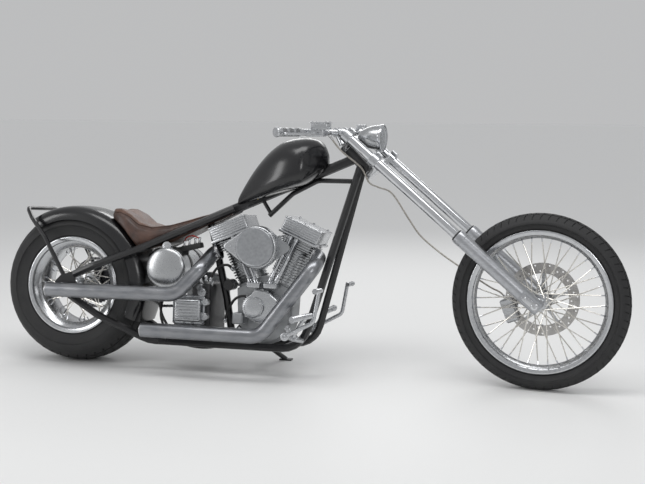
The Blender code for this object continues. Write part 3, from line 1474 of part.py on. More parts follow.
arm = block(rear_arm, rear_axle + Vector((forward, arm_y, up)))
reach = sprocket_radius + tooth_height + caliper_reach
sprocket_room = turned([(0, -caliper_slot / 2), (reach, -caliper_slot / 2),
                        (reach, caliper_slot / 2), (0, caliper_slot / 2)],
                       sprocket_centre, left, 24)
part("rear_caliper", cut(fused([body, arm]), [sprocket_room]), "polished_alloy")


# Handlebar on two risers from the upper tree

bar_bend_point = at(*bar_shares[-1])
grip_way = (at(*grip_end_share) - bar_bend_point).normalized()


def bar_path():
    half = [at(*share) for share in bar_shares[1:]] + [bar_bend_point + grip_way * grip_start]
    return rounded_path([mirrored(point, -1) for point in reversed(half)] + half, bar_bend)


def bar_tube(grow):
    return sweep(bar_path(), bar_radius + grow, bar_sides)


shapes = [bar_tube(0)]
tree_face = stem_high + steer_axis * (tree_thickness / 2 - boss_proud + touching_gap)
for side in (-1, 1):
    seat_point = tree_face + left * side * riser_y
    shapes.append(rod(seat_point, at(*bar_shares[0]) + left * side * riser_y, riser_radius, 12))
tree_room = slab([(-tree_thickness, -tree_thickness * 2), (tree_thickness, -tree_thickness * 2),
                  (tree_thickness, 0), (-tree_thickness, 0)], fork_half_spacing * 2,
                 tree_face, left, steer_axis)
part("handlebar", cut(fused(shapes), [tree_room]), "polished_alloy", "steering")
for side, name in ((-1, "right"), (1, "left")):
    inner = mirrored(bar_bend_point + grip_way * grip_start, side)
    outer = mirrored(at(*grip_end_share), side)
    way = (outer - inner).normalized()
    length = (outer - inner).length
    section = [(0, touching_gap), (grip_radius, touching_gap), (grip_radius, length - grip_cap),
               (grip_cap_radius, length - grip_cap), (grip_cap_radius, length - grip_edge),
               (grip_cap_radius - grip_edge, length), (0, length)]
    part(f"{name}_grip", turned(section, inner, way, 14), "polished_alloy", "steering")
    blocks = master_shares if side < 0 else perch_shares
    shapes = [softened(between(low, high), casting_edge, 1) for low, high in blocks]
    path = [mirrored(at(*share), -side) for share in lever_shares]
    shapes.append(sweep(rounded_path(path, lever_bend), lever_radius, 6))
    part(f"{name}_bar_controls", cut(fused(shapes), [bar_tube(touching_gap), line_tube(touching_gap)]),
         "polished_alloy", "steering")

# Forward controls: a bracket on each lower rail with a pedal lever and two pegs
for side, name in ((-1, "right"), (1, "left")):
    arm = sweep(rounded_path([mirrored(at(*share), -side) for share in control_arm_shares],
                             control_arm_bend), control_arm_radius, 7)
    pedal = sweep(rounded_path([mirrored(at(*share), -side) for share in pedal_shares],
                               pedal_bend), pedal_radius, 7)
    shapes = [arm, pedal]
    for shares, radius in ((pedal_peg_shares, peg_radius * core_share),
                           (foot_peg_shares, peg_radius), (peg_strut_shares, pedal_radius),
                           (brake_barrel_shares, cylinder_barrel_radius)):
        start, end = [mirrored(at(*share), -side) for share in shares]
        shapes.append(rod(start, end, radius, 10))
    part(f"{name}_controls", cut(fused(shapes), [lower_rail_tube(side, touching_gap)]),
         "polished_alloy")

# Fuel cap, oil filter and the lamp's post
section = [(0, touching_gap), (filler_cap_radius * filler_cap_grip_share, touching_gap),
           (filler_cap_radius, filler_cap_height / 2),
           (filler_cap_radius, filler_cap_height - filler_cap_edge),
           (filler_cap_radius - filler_cap_edge, filler_cap_height), (0, filler_cap_height)]
part("fuel_cap", turned(section, cap_place, (0, 0, 1), 18), "polished_alloy")
start, end = [at(*share) for share in filter_shares]
canister = softened(rod(start, end, filter_radius, 16), peg_edge, 1)
bracket = rod(at(*filter_foot_share), start - left * peg_edge, filter_bracket_radius, 8)
part("oil_filter", cut(fused([canister, bracket]), [seat_post_tube(touching_gap)]),
     "gloss_black")

# Side stand: a barrel on the pin, a leg and a pad that stands level on the ground
machine_tyres = [bpy.data.objects["front_tyre"], bpy.data.objects["rear_tyre"]]
bpy.context.view_layer.update()
ground = min((o.matrix_world @ v.co).z for o in machine_tyres for v in o.data.vertices)
level = Matrix.Rotation(lean_angle, 3, "X")
foot = stand_foot + level @ Vector((0, 0, ground + stand_pad[2] / 2))
barrel = rod(stand_hinge - stand_axis * barrel_half, stand_hinge + stand_axis * barrel_half,
             barrel_radius, 12)
leg = rod(stand_hinge, foot, stand_radius, 8)
pad = softened(block(stand_pad, foot, level), pad_edge, 1)
under = block([size * 4 for size in stand_pad], foot - level @ Vector((0, 0, stand_pad[2] * 2.5)),
              level)
bore = rod(stand_hinge - stand_axis * barrel_radius * 2, stand_hinge + stand_axis * barrel_radius * 2,
           pin_radius + running_gap, 12)
part("side_stand", cut(fused([barrel, leg, pad]), [bore, under]), "satin_black", "stand")


# Stand the parked machine with the middle of its box's base over the origin
bpy.context.view_layer.update()
corners = [o.matrix_world @ v.co for o in bpy.data.objects if o.type == "MESH" and not o.hide_render
           for v in o.data.vertices]
lowest = Vector([min(c[k] for c in corners) for k in range(3)])
highest = Vector([max(c[k] for c in corners) for k in range(3)])
machine.location = (-(lowest.x + highest.x) / 2, -(lowest.y + highest.y) / 2, -lowest.z)
bpy.context.view_layer.update()
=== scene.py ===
# %% [markdown]
# # A hardtail chopper, dressed
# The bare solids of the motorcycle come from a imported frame. This file dresses them as a
# photographer's studio would show them: satin black paint, brushed and polished aluminium,
# stainless spokes, raw steel pipes and a brown leather seat. Every step says what the real
# piece is and why it was made the way it was.

# %% Load the frame
import math

import bmesh
import bpy
from mathutils import Matrix, Vector
from mathutils.bvhtree import BVHTree


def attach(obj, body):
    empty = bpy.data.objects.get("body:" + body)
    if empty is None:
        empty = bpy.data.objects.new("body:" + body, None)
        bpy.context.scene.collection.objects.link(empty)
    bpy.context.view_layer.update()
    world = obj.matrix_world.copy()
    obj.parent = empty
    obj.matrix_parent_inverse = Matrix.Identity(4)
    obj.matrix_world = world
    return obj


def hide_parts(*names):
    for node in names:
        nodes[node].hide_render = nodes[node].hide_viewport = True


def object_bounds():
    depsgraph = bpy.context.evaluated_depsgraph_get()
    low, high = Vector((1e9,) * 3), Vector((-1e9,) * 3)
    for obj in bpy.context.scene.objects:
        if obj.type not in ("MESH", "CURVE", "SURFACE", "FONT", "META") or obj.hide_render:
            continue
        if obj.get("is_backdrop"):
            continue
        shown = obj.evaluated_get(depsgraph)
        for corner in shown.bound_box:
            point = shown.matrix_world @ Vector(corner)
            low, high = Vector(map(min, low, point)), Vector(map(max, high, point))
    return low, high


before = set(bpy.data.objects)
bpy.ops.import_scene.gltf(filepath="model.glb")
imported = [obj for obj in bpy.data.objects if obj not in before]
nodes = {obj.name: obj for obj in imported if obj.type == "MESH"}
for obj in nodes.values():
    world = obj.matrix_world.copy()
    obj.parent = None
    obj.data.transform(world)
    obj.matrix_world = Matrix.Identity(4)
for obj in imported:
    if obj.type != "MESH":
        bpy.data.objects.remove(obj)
cad_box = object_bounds()

# %% [markdown]
# ## Where things stand
# A parked motorcycle leans on its side stand and its fork flops to one side, so nothing on
# it is square to the room. It is far easier to model it upright, with the ground line under
# the rear axle as the origin, and to lean each finished piece afterwards. Two matrices do
# that: one leans the machine, and one also turns the fork on its stem. A third rolls the front
# wheel by the third of a degree that brings its tyre's lowest part to the ground.

# %% The upright machine, its lean and its steering
lean = math.radians(7.0)
rest_steer = math.radians(6.8)
parked_at = Vector((-0.991804, -0.127441, 0.0))
wheelbase, half_width, neck_height = 1.966, 0.175, 0.890
neck = Vector((1.225, 0.0, neck_height))
rear_axle = Vector((0.0, 0.0, 0.32749))
front_axle = Vector((wheelbase, 0.0, 0.34794))
crank = Vector((0.855, 0.0, 0.214))
gearbox_shaft = Vector((0.520, 0.0, 0.300))
left = Vector((0, 1, 0))
upward = Vector((0, 0, 1))
steer_axis = Vector((-1, 0, 1)).normalized()
fork_rake = math.radians(50.0)
fork_up = Vector((-math.sin(fork_rake), 0, math.cos(fork_rake)))
fork_out = Vector((math.cos(fork_rake), 0, math.sin(fork_rake)))
stood = Matrix.Translation(parked_at) @ Matrix.Rotation(-lean, 4, "X")
steered = (stood @ Matrix.Translation(neck) @ Matrix.Rotation(-rest_steer, 4, steer_axis)
           @ Matrix.Translation(-neck))
tip = (steered.to_3x3().transposed() @ upward)
rolled = (steered @ Matrix.Translation(front_axle)
          @ Matrix.Rotation(math.atan2(tip.x, tip.z), 4, "Y") @ Matrix.Translation(-front_axle))
stands = {"frame": stood, "rear_wheel": stood, "side_stand": stood, "fork": steered,
          "front_wheel": rolled}


def at(x_share, y_share, z_share):
    """A place on the upright machine: shares of wheelbase, half width and neck height."""
    return Vector((wheelbase * x_share, half_width * y_share, neck_height * z_share))


def on_side(point, side):
    """A place on the machine's left, moved to the given side: 1 is left and -1 right."""
    return Vector((point.x, point.y * side, point.z))


# %% [markdown]
# ## Camera
# The picture was taken from the machine's right, a little ahead of the engine and at about
# eye height for somebody kneeling. The long lens keeps both wheels round.

# %% Camera
photo_width, focal_pixels, sensor = 645, 1113.0, 36.0
yaw, pitch = math.radians(-14.91), math.radians(8.03)
gaze = Vector((math.sin(yaw) * math.cos(pitch), math.cos(yaw) * math.cos(pitch),
               -math.sin(pitch)))
lens = bpy.data.cameras.new("camera")
lens.sensor_width = sensor
lens.lens = focal_pixels * sensor / photo_width
camera = bpy.data.objects.new("camera", lens)
camera.location = (1.252, -4.442, 1.184)
camera.rotation_euler = gaze.to_track_quat("-Z", "Y").to_euler()
bpy.context.scene.collection.objects.link(camera)
bpy.context.scene.camera = camera
print("lens", round(lens.lens, 1), "mm")

# %% [markdown]
# ## Floor and light
# A pale sweep of paper, a broad soft box overhead and a long one at each side are what a
# studio uses for metal: every curve then carries one wide, soft highlight and a dark edge.

# %% Floor, lamps and world
bpy.context.scene.view_settings.view_transform = "Standard"


def nothing_selected():
    """Operators act on whatever is selected, so each step starts with nothing."""
    if bpy.context.object and bpy.context.object.mode != "OBJECT":
        bpy.ops.object.mode_set(mode="OBJECT")
    bpy.ops.object.select_all(action="DESELECT")


nothing_selected()
bpy.ops.mesh.primitive_plane_add(size=60)
floor = bpy.context.object
floor.name = "floor"
paper = bpy.data.materials.new("paper")
paper.use_nodes = True
paper.node_tree.nodes["Principled BSDF"].inputs["Base Color"].default_value = (.74, .74, .73, 1)
paper.node_tree.nodes["Principled BSDF"].inputs["Roughness"].default_value = 0.6
floor.data.materials.append(paper)
floor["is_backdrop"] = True

lamp_rows = (
    # name, place, aim, width, height, watts
    ("overhead", (0.3, -0.9, 3.0), (0.1, 0.0, 0.5), 3.4, 0.9, 40),
    ("camera_side", (2.6, -3.4, 2.0), (0.3, 0.0, 0.5), 1.4, 0.7, 16),
    ("low_left", (-3.0, -2.2, 1.4), (-0.4, 0.0, 0.4), 0.7, 2.0, 20),
    ("behind", (-0.2, 3.2, 2.4), (0.0, 0.0, 0.5), 3.2, 0.8, 28),
)
for name, place, aim, width, height, watts in lamp_rows:
    light = bpy.data.lights.new(name, "AREA")
    light.shape = "RECTANGLE"
    light.size, light.size_y, light.energy = width, height, watts
    lamp = bpy.data.objects.new(name, light)
    lamp.location = place
    lamp.rotation_euler = (Vector(aim) - Vector(place)).to_track_quat("-Z", "Y").to_euler()
    bpy.context.scene.collection.objects.link(lamp)

world = bpy.data.worlds.new("studio")
bpy.context.scene.world = world
world.use_nodes = True
# The light from the room is brightest overhead and greyer at eye height, and the camera
# sees plain paper behind the machine
sky = world.node_tree.nodes["Background"]
links = world.node_tree.links
where = world.node_tree.nodes.new("ShaderNodeTexCoord")
split = world.node_tree.nodes.new("ShaderNodeSeparateXYZ")
links.new(where.outputs["Generated"], split.inputs["Vector"])
fade = world.node_tree.nodes.new("ShaderNodeValToRGB")
fade.color_ramp.elements[0].position = 0.0
fade.color_ramp.elements[0].color = (.30, .30, .31, 1)
fade.color_ramp.elements[1].position = 0.75
fade.color_ramp.elements[1].color = (.86, .87, .89, 1)
links.new(split.outputs["Z"], fade.inputs["Fac"])
ray = world.node_tree.nodes.new("ShaderNodeLightPath")
paper_seen = world.node_tree.nodes.new("ShaderNodeMix")
paper_seen.data_type = "RGBA"
paper_seen.inputs["B"].default_value = (.564, .568, .574, 1)
# Mirrors and glass see the same paper as the camera does
seen = ray.outputs["Is Camera Ray"]
for also in ("Is Glossy Ray", "Is Transmission Ray"):
    either = world.node_tree.nodes.new("ShaderNodeMath")
    either.operation = "MAXIMUM"
    links.new(seen, either.inputs[0])
    links.new(ray.outputs[also], either.inputs[1])
    seen = either.outputs["Value"]
links.new(seen, paper_seen.inputs["Factor"])
links.new(fade.outputs["Color"], paper_seen.inputs["A"])
links.new(paper_seen.outputs["Result"], sky.inputs["Color"])
sky.inputs["Strength"].default_value = 0.90
print("lamps:", len(lamp_rows))

# %% [markdown]
# ## Finishes
# No surface here is one flat colour. Paint has a faint orange peel and dust in it, brushed
# metal has streaks that follow the tool, castings are grainy, and rubber is greyer where it
# is rubbed. Each finish starts from one Principled shader whose colour and roughness come
# from noise on Object coordinates, so that they stay put on the piece from every side.

# %% A surface made from noise
def node_in(tree, kind, **values):
    """Adds a shader node and sets its sockets, named with _ for a space."""
    made = tree.nodes.new("ShaderNode" + kind)
    for socket, value in values.items():
        made.inputs[socket.replace("_", " ")].default_value = value
    return made


def surface(name, dark, pale, rough, metallic=0.0, scale=40.0, stretch=(1, 1, 1), bump=0.0,
            bump_scale=400.0, coat=0.0, detail=4.0):
    """A finish whose colour runs from dark to pale and roughness over a range, by noise."""
    made = bpy.data.materials.new(name)
    made.use_nodes = True
    tree = made.node_tree
    shader = tree.nodes["Principled BSDF"]
    shader.inputs["Metallic"].default_value = metallic
    shader.inputs["Coat Weight"].default_value = coat
    shader.inputs["Coat Roughness"].default_value = 0.12
    places = node_in(tree, "TexCoord")
    mapping = node_in(tree, "Mapping", Scale=stretch)
    tree.links.new(places.outputs["Object"], mapping.inputs["Vector"])
    noise = node_in(tree, "TexNoise", Scale=scale, Detail=detail)
    tree.links.new(mapping.outputs["Vector"], noise.inputs["Vector"])
    colours = tree.nodes.new("ShaderNodeValToRGB")
    colours.color_ramp.elements[0].position = 0.35
    colours.color_ramp.elements[1].position = 0.68
    colours.color_ramp.elements[0].color = (*dark, 1)
    colours.color_ramp.elements[1].color = (*pale, 1)
    tree.links.new(noise.outputs["Fac"], colours.inputs["Fac"])
    tree.links.new(colours.outputs["Color"], shader.inputs["Base Color"])
    spread = node_in(tree, "MapRange", From_Min=0.3, From_Max=0.7, To_Min=rough[0],
                     To_Max=rough[1])
    tree.links.new(noise.outputs["Fac"], spread.inputs["Value"])
    tree.links.new(spread.outputs["Result"], shader.inputs["Roughness"])
    if bump:
        grain = node_in(tree, "TexNoise", Scale=bump_scale, Detail=3.0)
        tree.links.new(mapping.outputs["Vector"], grain.inputs["Vector"])
        relief = node_in(tree, "Bump", Strength=bump, Distance=0.0006)
        tree.links.new(grain.outputs["Fac"], relief.inputs["Height"])
        tree.links.new(relief.outputs["Normal"], shader.inputs["Normal"])
    return made


# %% The finishes of this machine
looks = {
    # Satin black paint, with a soft clear coat
    "satin_black": surface("satin_paint", (.006, .006, .007), (.011, .011, .012), (.26, .36),
                           scale=6, bump=.05, bump_scale=900, coat=.15),
    "tank_black": surface("tank_paint", (.005, .005, .006), (.008, .008, .009), (.20, .27),
                          scale=5, bump=.02, bump_scale=900, coat=.30),
    "tyre_rubber": surface("tyre_compound", (.012, .012, .013), (.026, .026, .026), (.60, .80),
                           scale=22, bump=.30, bump_scale=1500),
    # Brushed aluminium: fine streaks that the polishing belt left
    "polished_alloy": surface("brushed_aluminium", (.50, .51, .525), (.53, .54, .555),
                              (.26, .29), 1.0, scale=60, stretch=(.4, 1, 3)),
    "spun_alloy": surface("spun_aluminium", (.47, .48, .49), (.495, .505, .515), (.27, .29), 1.0,
                          scale=160, bump=.006, bump_scale=1200),
    "blasted_alloy": surface("blasted_aluminium", (.34, .35, .365), (.41, .42, .435),
                             (.36, .42), 1.0, scale=90, bump=.03, bump_scale=1500),
    "link_steel": surface("chain_plates", (.20, .20, .21), (.34, .34, .35), (.28, .40), .95,
                          scale=90, bump=.10, bump_scale=900),
    "spoke_steel": surface("spoke_wire", (.66, .64, .60), (.74, .72, .68), (.22, .30), .95,
                           scale=60),
    "disc_steel": surface("brake_disc", (.44, .43, .42), (.50, .49, .48), (.26, .32), .95,
                          scale=200, bump=.02, bump_scale=900),
    "dark_casting": surface("painted_casting", (.020, .020, .022), (.045, .045, .048),
                            (.38, .50), .3, scale=50, bump=.30, bump_scale=900),
    "cast_alloy": surface("cast_aluminium", (.36, .37, .38), (.42, .43, .44), (.40, .46), 1.0,
                          scale=60, bump=.08, bump_scale=1100),
    "fin_alloy": surface("finned_castings", (.46, .47, .48), (.54, .55, .56), (.32, .37), 1.0,
                         scale=50),
    "rim_alloy": surface("polished_rims", (.52, .53, .55), (.60, .61, .62), (.20, .26), 1.0,
                         scale=110, bump=.015, bump_scale=900),
    "brushed_steel": surface("stainless", (.46, .46, .47), (.60, .60, .61), (.20, .30), 1.0,
                             scale=60, bump=.04, bump_scale=700),
    "pipe_steel": surface("pipe_steel", (.25, .258, .275), (.33, .335, .35), (.28, .36), 1.0,
                          scale=26, stretch=(.6, 1, 2), bump=.05, bump_scale=900),
    "pipe_satin": surface("satin_legs", (.40, .41, .43), (.48, .49, .51), (.30, .36), 1.0,
                          scale=90, stretch=(.5, 1, 2), bump=.04, bump_scale=900),
    "chrome": surface("chrome_plate", (.62, .63, .65), (.68, .69, .71), (.05, .08), 1.0,
                      scale=12),
    "dark_steel": surface("blackened_steel", (.035, .035, .040), (.10, .10, .11), (.32, .48),
                          .9, scale=80, bump=.25, bump_scale=900),
    "black_rubber": surface("moulded_rubber", (.010, .010, .010), (.022, .022, .022),
                            (.46, .62), scale=40, bump=.20, bump_scale=1200),
    "brass": surface("brass_fittings", (.42, .30, .12), (.56, .42, .20), (.22, .34), 1.0,
                     scale=50),
    "ceramic": surface("plug_ceramic", (.62, .61, .58), (.72, .71, .68), (.18, .26), scale=40,
                       coat=.3),
    "red_anodised": surface("red_anodising", (.30, .018, .012), (.42, .030, .020), (.24, .32),
                            .9, scale=40),
}
print("finishes:", len(looks))

# %% The solids that stay, each in its finish
kept = {
    "satin_black": ("backbone", "left_top_rail", "right_top_rail", "left_lower_rail",
                    "right_lower_rail", "fender_strut", "side_stand"),
    "polished_alloy": ("front_caliper", "rear_caliper"),
    "cast_alloy": ("crankcase", "carburettor", "oil_pump"),
    "brushed_steel": ("front_axle", "rear_axle"),
    "dark_steel": ("rear_sprocket",),
    "tank_black": ("oil_filter",),
}
for look, names in kept.items():
    for name in names:
        for place in nodes[name].material_slots:
            place.material = looks[look]
print("solids finished:", sum(len(names) for names in kept.values()))

# %% [markdown]
# ## Shaping tools
# Most of a motorcycle is turned, bent from tube or cut from plate. A turned piece starts as
# a disc that is extruded and resized along its axis. A ring, such as a tyre, starts as the
# outline of its section and is spun. Tube follows a line with a round bevel. Each tool ends
# with a mesh whose place is in its vertices.

# %% Turned, spun, bent and blocked shapes
def applied(piece):
    """Moves an object's place into its mesh."""
    piece.data.transform(piece.matrix_world)
    piece.matrix_world = Matrix()
    return piece


def facing(axis):
    """The turn that takes the upright direction to an axis."""
    return upward.rotation_difference(Vector(axis).normalized()).to_matrix().to_4x4()


def edit_all(piece):
    """Opens an object in edit mode with its whole mesh selected."""
    nothing_selected()
    bpy.context.view_layer.objects.active = piece
    piece.select_set(True)
    bpy.ops.object.mode_set(mode="EDIT")
    bpy.ops.mesh.select_all(action="SELECT")


def closed_up(piece, merge=0.00001):
    """Merges doubled points and turns every face outwards."""
    edit_all(piece)
    bpy.ops.mesh.remove_doubles(threshold=merge)
    bpy.ops.mesh.normals_make_consistent(inside=False)
    bpy.ops.object.mode_set(mode="OBJECT")
    return piece


def turned(profile, centre=(0, 0, 0), axis=upward, sides=40):
    """A turned solid from (radius, place along the axis) pairs, one end to the other."""
    nothing_selected()
    bpy.ops.mesh.primitive_circle_add(vertices=sides, radius=profile[0][0], fill_type="NGON")
    piece = bpy.context.object
    bpy.ops.object.mode_set(mode="EDIT")
    bpy.ops.mesh.select_all(action="SELECT")
    bpy.ops.transform.translate(value=(0, 0, profile[0][1]))
    for (radius, along), (new_radius, new_along) in zip(profile, profile[1:]):
        bpy.ops.mesh.extrude_region_move(
            TRANSFORM_OT_translate={"value": (0, 0, new_along - along)})
        if new_radius != radius:
            share = new_radius / radius
            bpy.ops.transform.resize(value=(share, share, 1), center_override=(0, 0, new_along))
    bpy.ops.object.mode_set(mode="OBJECT")
    piece.matrix_world = Matrix.Translation(Vector(centre)) @ facing(axis)
    return closed_up(applied(piece), 0.000001)


def spun(section, centre, axis=left, steps=96):
    """A ring: a closed outline of (radius, place along the axis), spun all the way round."""
    nothing_selected()
    bpy.ops.mesh.primitive_circle_add(vertices=len(section), radius=1)
    piece = bpy.context.object
    for vertex, (radius, along) in zip(piece.data.vertices, section):
        vertex.co = (radius, 0, along)
    edit_all(piece)
    bpy.ops.mesh.spin(steps=steps, angle=math.tau, center=(0, 0, 0), axis=(0, 0, 1))
    bpy.ops.object.mode_set(mode="OBJECT")
    piece.matrix_world = Matrix.Translation(Vector(centre)) @ facing(axis)
    return closed_up(applied(piece))


def rounded(corners, bend, steps=8):
    """Points along straight runs whose corners are arcs of one radius, or of one each."""
    corners = [Vector(c) for c in corners]
    bends = bend if isinstance(bend, tuple) else [bend] * len(corners)
    points = [corners[0]]
    for before, corner, after, bend in zip(corners, corners[1:], corners[2:], bends):
        back, on = (before - corner).normalized(), (after - corner).normalized()
        half = back.angle(on) / 2
        cut = bend / math.tan(half)
        middle = corner + (back + on).normalized() * bend / math.sin(half)
        first = (corner + back * cut - middle).normalized()
        last = (corner + on * cut - middle).normalized()
        points += [middle + first.slerp(last, i / steps) * bend for i in range(steps + 1)]
    return points + [corners[-1]]


def smooth_line(corners, steps=6):
    """Points of one smooth curve through a few places, as a free cable runs."""
    found = []
    ends = [corners[0] * 2 - corners[1]] + list(corners) + [corners[-1] * 2 - corners[-2]]
    for a, b, c, d in zip(ends, ends[1:], ends[2:], ends[3:]):
        for i in range(steps):
            t = i / steps
            found.append((b * 2 + (c - a) * t + (a * 2 - b * 5 + c * 4 - d) * t * t
                          + (b * 3 - a - c * 3 + d) * t ** 3) / 2)
    return found + [corners[-1]]


def tube(points, radius, sides=12, capped=True):
    """A round bar or pipe that follows a line of points."""
    nothing_selected()
    bpy.ops.curve.primitive_nurbs_path_add()
    piece = bpy.context.object
    line = piece.data
    line.splines.clear()
    run = line.splines.new("POLY")
    run.points.add(len(points) - 1)
    for place, point in zip(run.points, points):
        place.co = (*point, 1)
    line.dimensions = "3D"
    line.bevel_depth = radius
    line.bevel_resolution = max(0, sides // 4 - 1)
    line.use_fill_caps = capped
    bpy.ops.object.convert(target="MESH")
    return closed_up(bpy.context.object, 0.000001) if capped else bpy.context.object


def block(size, centre, turn=None, edge=0.002, segments=2):
    """A cut block with its edges rounded."""
    nothing_selected()
    bpy.ops.mesh.primitive_cube_add(size=1)
    piece = bpy.context.object
    piece.data.transform(Matrix.Diagonal((*size, 1)))
    edit_all(piece)
    if edge:
        bpy.ops.mesh.bevel(offset=edge, segments=segments, affect="EDGES")
    bpy.ops.object.mode_set(mode="OBJECT")
    place = Matrix.Translation(Vector(centre))
    piece.matrix_world = place @ turn.to_4x4() if turn else place
    return applied(piece)


def copies(piece, matrices):
    """Puts a copy with its own mesh at each place, and removes the first one."""
    made = []
    for matrix in matrices:
        twin = piece.copy()
        twin.data = piece.data.copy()
        twin.data.transform(matrix)
        bpy.context.scene.collection.objects.link(twin)
        made.append(twin)
    bpy.data.objects.remove(piece, do_unlink=True)
    return made


def joined(pieces):
    """Several shapes as one object."""
    nothing_selected()
    for piece in pieces:
        piece.select_set(True)
    bpy.context.view_layer.objects.active = pieces[0]
    bpy.ops.object.join()
    return bpy.context.object


def refined(node, levels=2, sharper_than=32, crease=0.9):
    """A copy of a solid in quads, with its hard edges creased and the rest subdivided."""
    nothing_selected()
    piece = nodes[node].copy()
    piece.data = nodes[node].data.copy()
    bpy.context.scene.collection.objects.link(piece)
    piece.hide_render = False
    piece.hide_viewport = False
    closed_up(piece)
    edit_all(piece)
    bpy.ops.mesh.tris_convert_to_quads(face_threshold=math.radians(30),
                                       shape_threshold=math.radians(60))
    bpy.ops.mesh.select_all(action="DESELECT")
    bpy.ops.mesh.select_mode(type="EDGE")
    bpy.ops.mesh.edges_select_sharp(sharpness=math.radians(sharper_than))
    bpy.ops.transform.edge_crease(value=crease)
    bpy.ops.mesh.select_mode(type="VERT")
    bpy.ops.object.mode_set(mode="OBJECT")
    rounder = piece.modifiers.new("rounder", "SUBSURF")
    rounder.levels = rounder.render_levels = levels
    bpy.ops.object.modifier_apply(modifier=rounder.name)
    return piece


def turned_along(first, second):
    """A turn that lays x along the first way and y along the second."""
    return Matrix((first, second, first.cross(second))).transposed().to_4x4()


def settled(piece, name, look, body, upright=True, sharp=35):
    """Leans a finished piece with its body, names it and gives it its finish."""
    if upright:
        piece.data.transform(stands[body] @ piece.matrix_world)
        piece.matrix_world = Matrix()
    nothing_selected()
    bpy.context.view_layer.objects.active = piece
    piece.select_set(True)
    bpy.ops.object.shade_smooth_by_angle(angle=math.radians(sharp))
    piece.name = piece.data.name = name
    piece.data.materials.clear()
    piece.data.materials.append(looks[look])
    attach(piece, body)
    return piece


# %% [markdown]
# ## Fasteners
# Everything on the machine is held by two kinds of fastener: socket-head screws with a
# round, hollow head, and hexagon nuts on a washer. One of each is modelled, then copied to
# a table of places, so every one has its own mesh and all on one body become one piece.

# %% A screw and a nut, and how they are set out
def screw_head(radius):
    """A socket-head screw: a chamfered drum with a blind socket, its seat at the origin."""
    return turned([(radius, 0), (radius, radius * .95), (radius * .86, radius * 1.1),
                   (radius * .52, radius * 1.1), (radius * .46, radius * .55)], sides=14)


def hex_nut(radius):
    """A chamfered hexagon nut on its washer."""
    washer = turned([(radius * 1.25, 0), (radius * 1.25, radius * .16)], sides=18)
    nut = turned([(radius * 1.08, radius * .16), (radius * 1.08, radius * .85),
                  (radius * .92, radius * .98)], sides=6)
    stud = turned([(radius * .5, radius * .9), (radius * .5, radius * 1.25),
                   (radius * .42, radius * 1.35)], sides=12)
    return joined([washer, nut, stud])


def set_out(kind, radius, places):
    """Copies of one fastener at (place, way out) pairs."""
    return joined(copies(kind(radius), [Matrix.Translation(Vector(place)) @ facing(way)
                                        for place, way in places]))


def ring_of(count, centre, axis, radius, start=0.0):
    """Places round an axis, each with the axis as its way out."""
    axis = Vector(axis).normalized()
    across = axis.orthogonal().normalized()
    if abs(axis.y) > .9:
        across = Vector((1, 0, 0))
    other = axis.cross(across)
    return [(Vector(centre) + (across * math.cos(start + math.tau * i / count)
                               + other * math.sin(start + math.tau * i / count)) * radius, axis)
            for i in range(count)]

# %% [markdown]
# ## Tyres
# A tyre is a ring whose section bulges from a narrow bead to a wide crown. The tread is cut
# into it: the mesh is spun in alternating wide and narrow steps, the narrow faces of each
# pattern are picked by their place, and those faces are extruded inwards as grooves.

# %% Tyres with cut grooves
wheel_rows = (
    # side, centre, radius, half width, crown radius, rim radius, rim half width, pitches
    ("front", front_axle, 0.3478, 0.0468, 0.0470, 0.2805, 0.033, 66),
    ("rear", rear_axle, 0.3283, 0.1148, 0.1500, 0.2050, 0.100, 46),
)
rim_wall = 0.006


def tyre_section(radius, half, crown, rim_radius, rim_half, across):
    """The outline of a tyre's section, and the two ends of its tread in it."""
    sweep_angle = math.asin(half * .90 / crown)
    side_radius = rim_radius + (radius - rim_radius) * .42
    bead = rim_radius - rim_wall * 2
    bead_y = rim_half - rim_wall
    flank = [(bead, bead_y), (rim_radius + .004, bead_y - .001), (rim_radius + .008, bead_y + .004)]
    low_y = bead_y + .004
    for i in range(1, 7):
        turn = i / 6 * math.pi / 2
        flank.append((rim_radius + .008 + (side_radius - rim_radius - .008) * math.sin(turn),
                      low_y + (half - low_y) * (1 - math.cos(turn)) ** .8))
    crown_points = []
    for i in range(across + 1):
        angle = sweep_angle * (1 - 2 * i / across)
        crown_points.append((radius - crown + crown * math.cos(angle), crown * math.sin(angle)))
    edge_radius, edge_y = crown_points[0]
    shoulder = [(side_radius + (edge_radius - side_radius) * share,
                 half + (edge_y - half) * share ** 2.2) for share in (.2, .4, .6, .8, .93)]
    outer = flank + shoulder
    section = outer + crown_points + [(r, -y) for r, y in reversed(outer)]
    inner = [(bead, -bead_y + .009), (side_radius, .012 - half), (radius - .020, 0),
             (side_radius, half - .012), (bead, bead_y - .009)]
    return section + inner


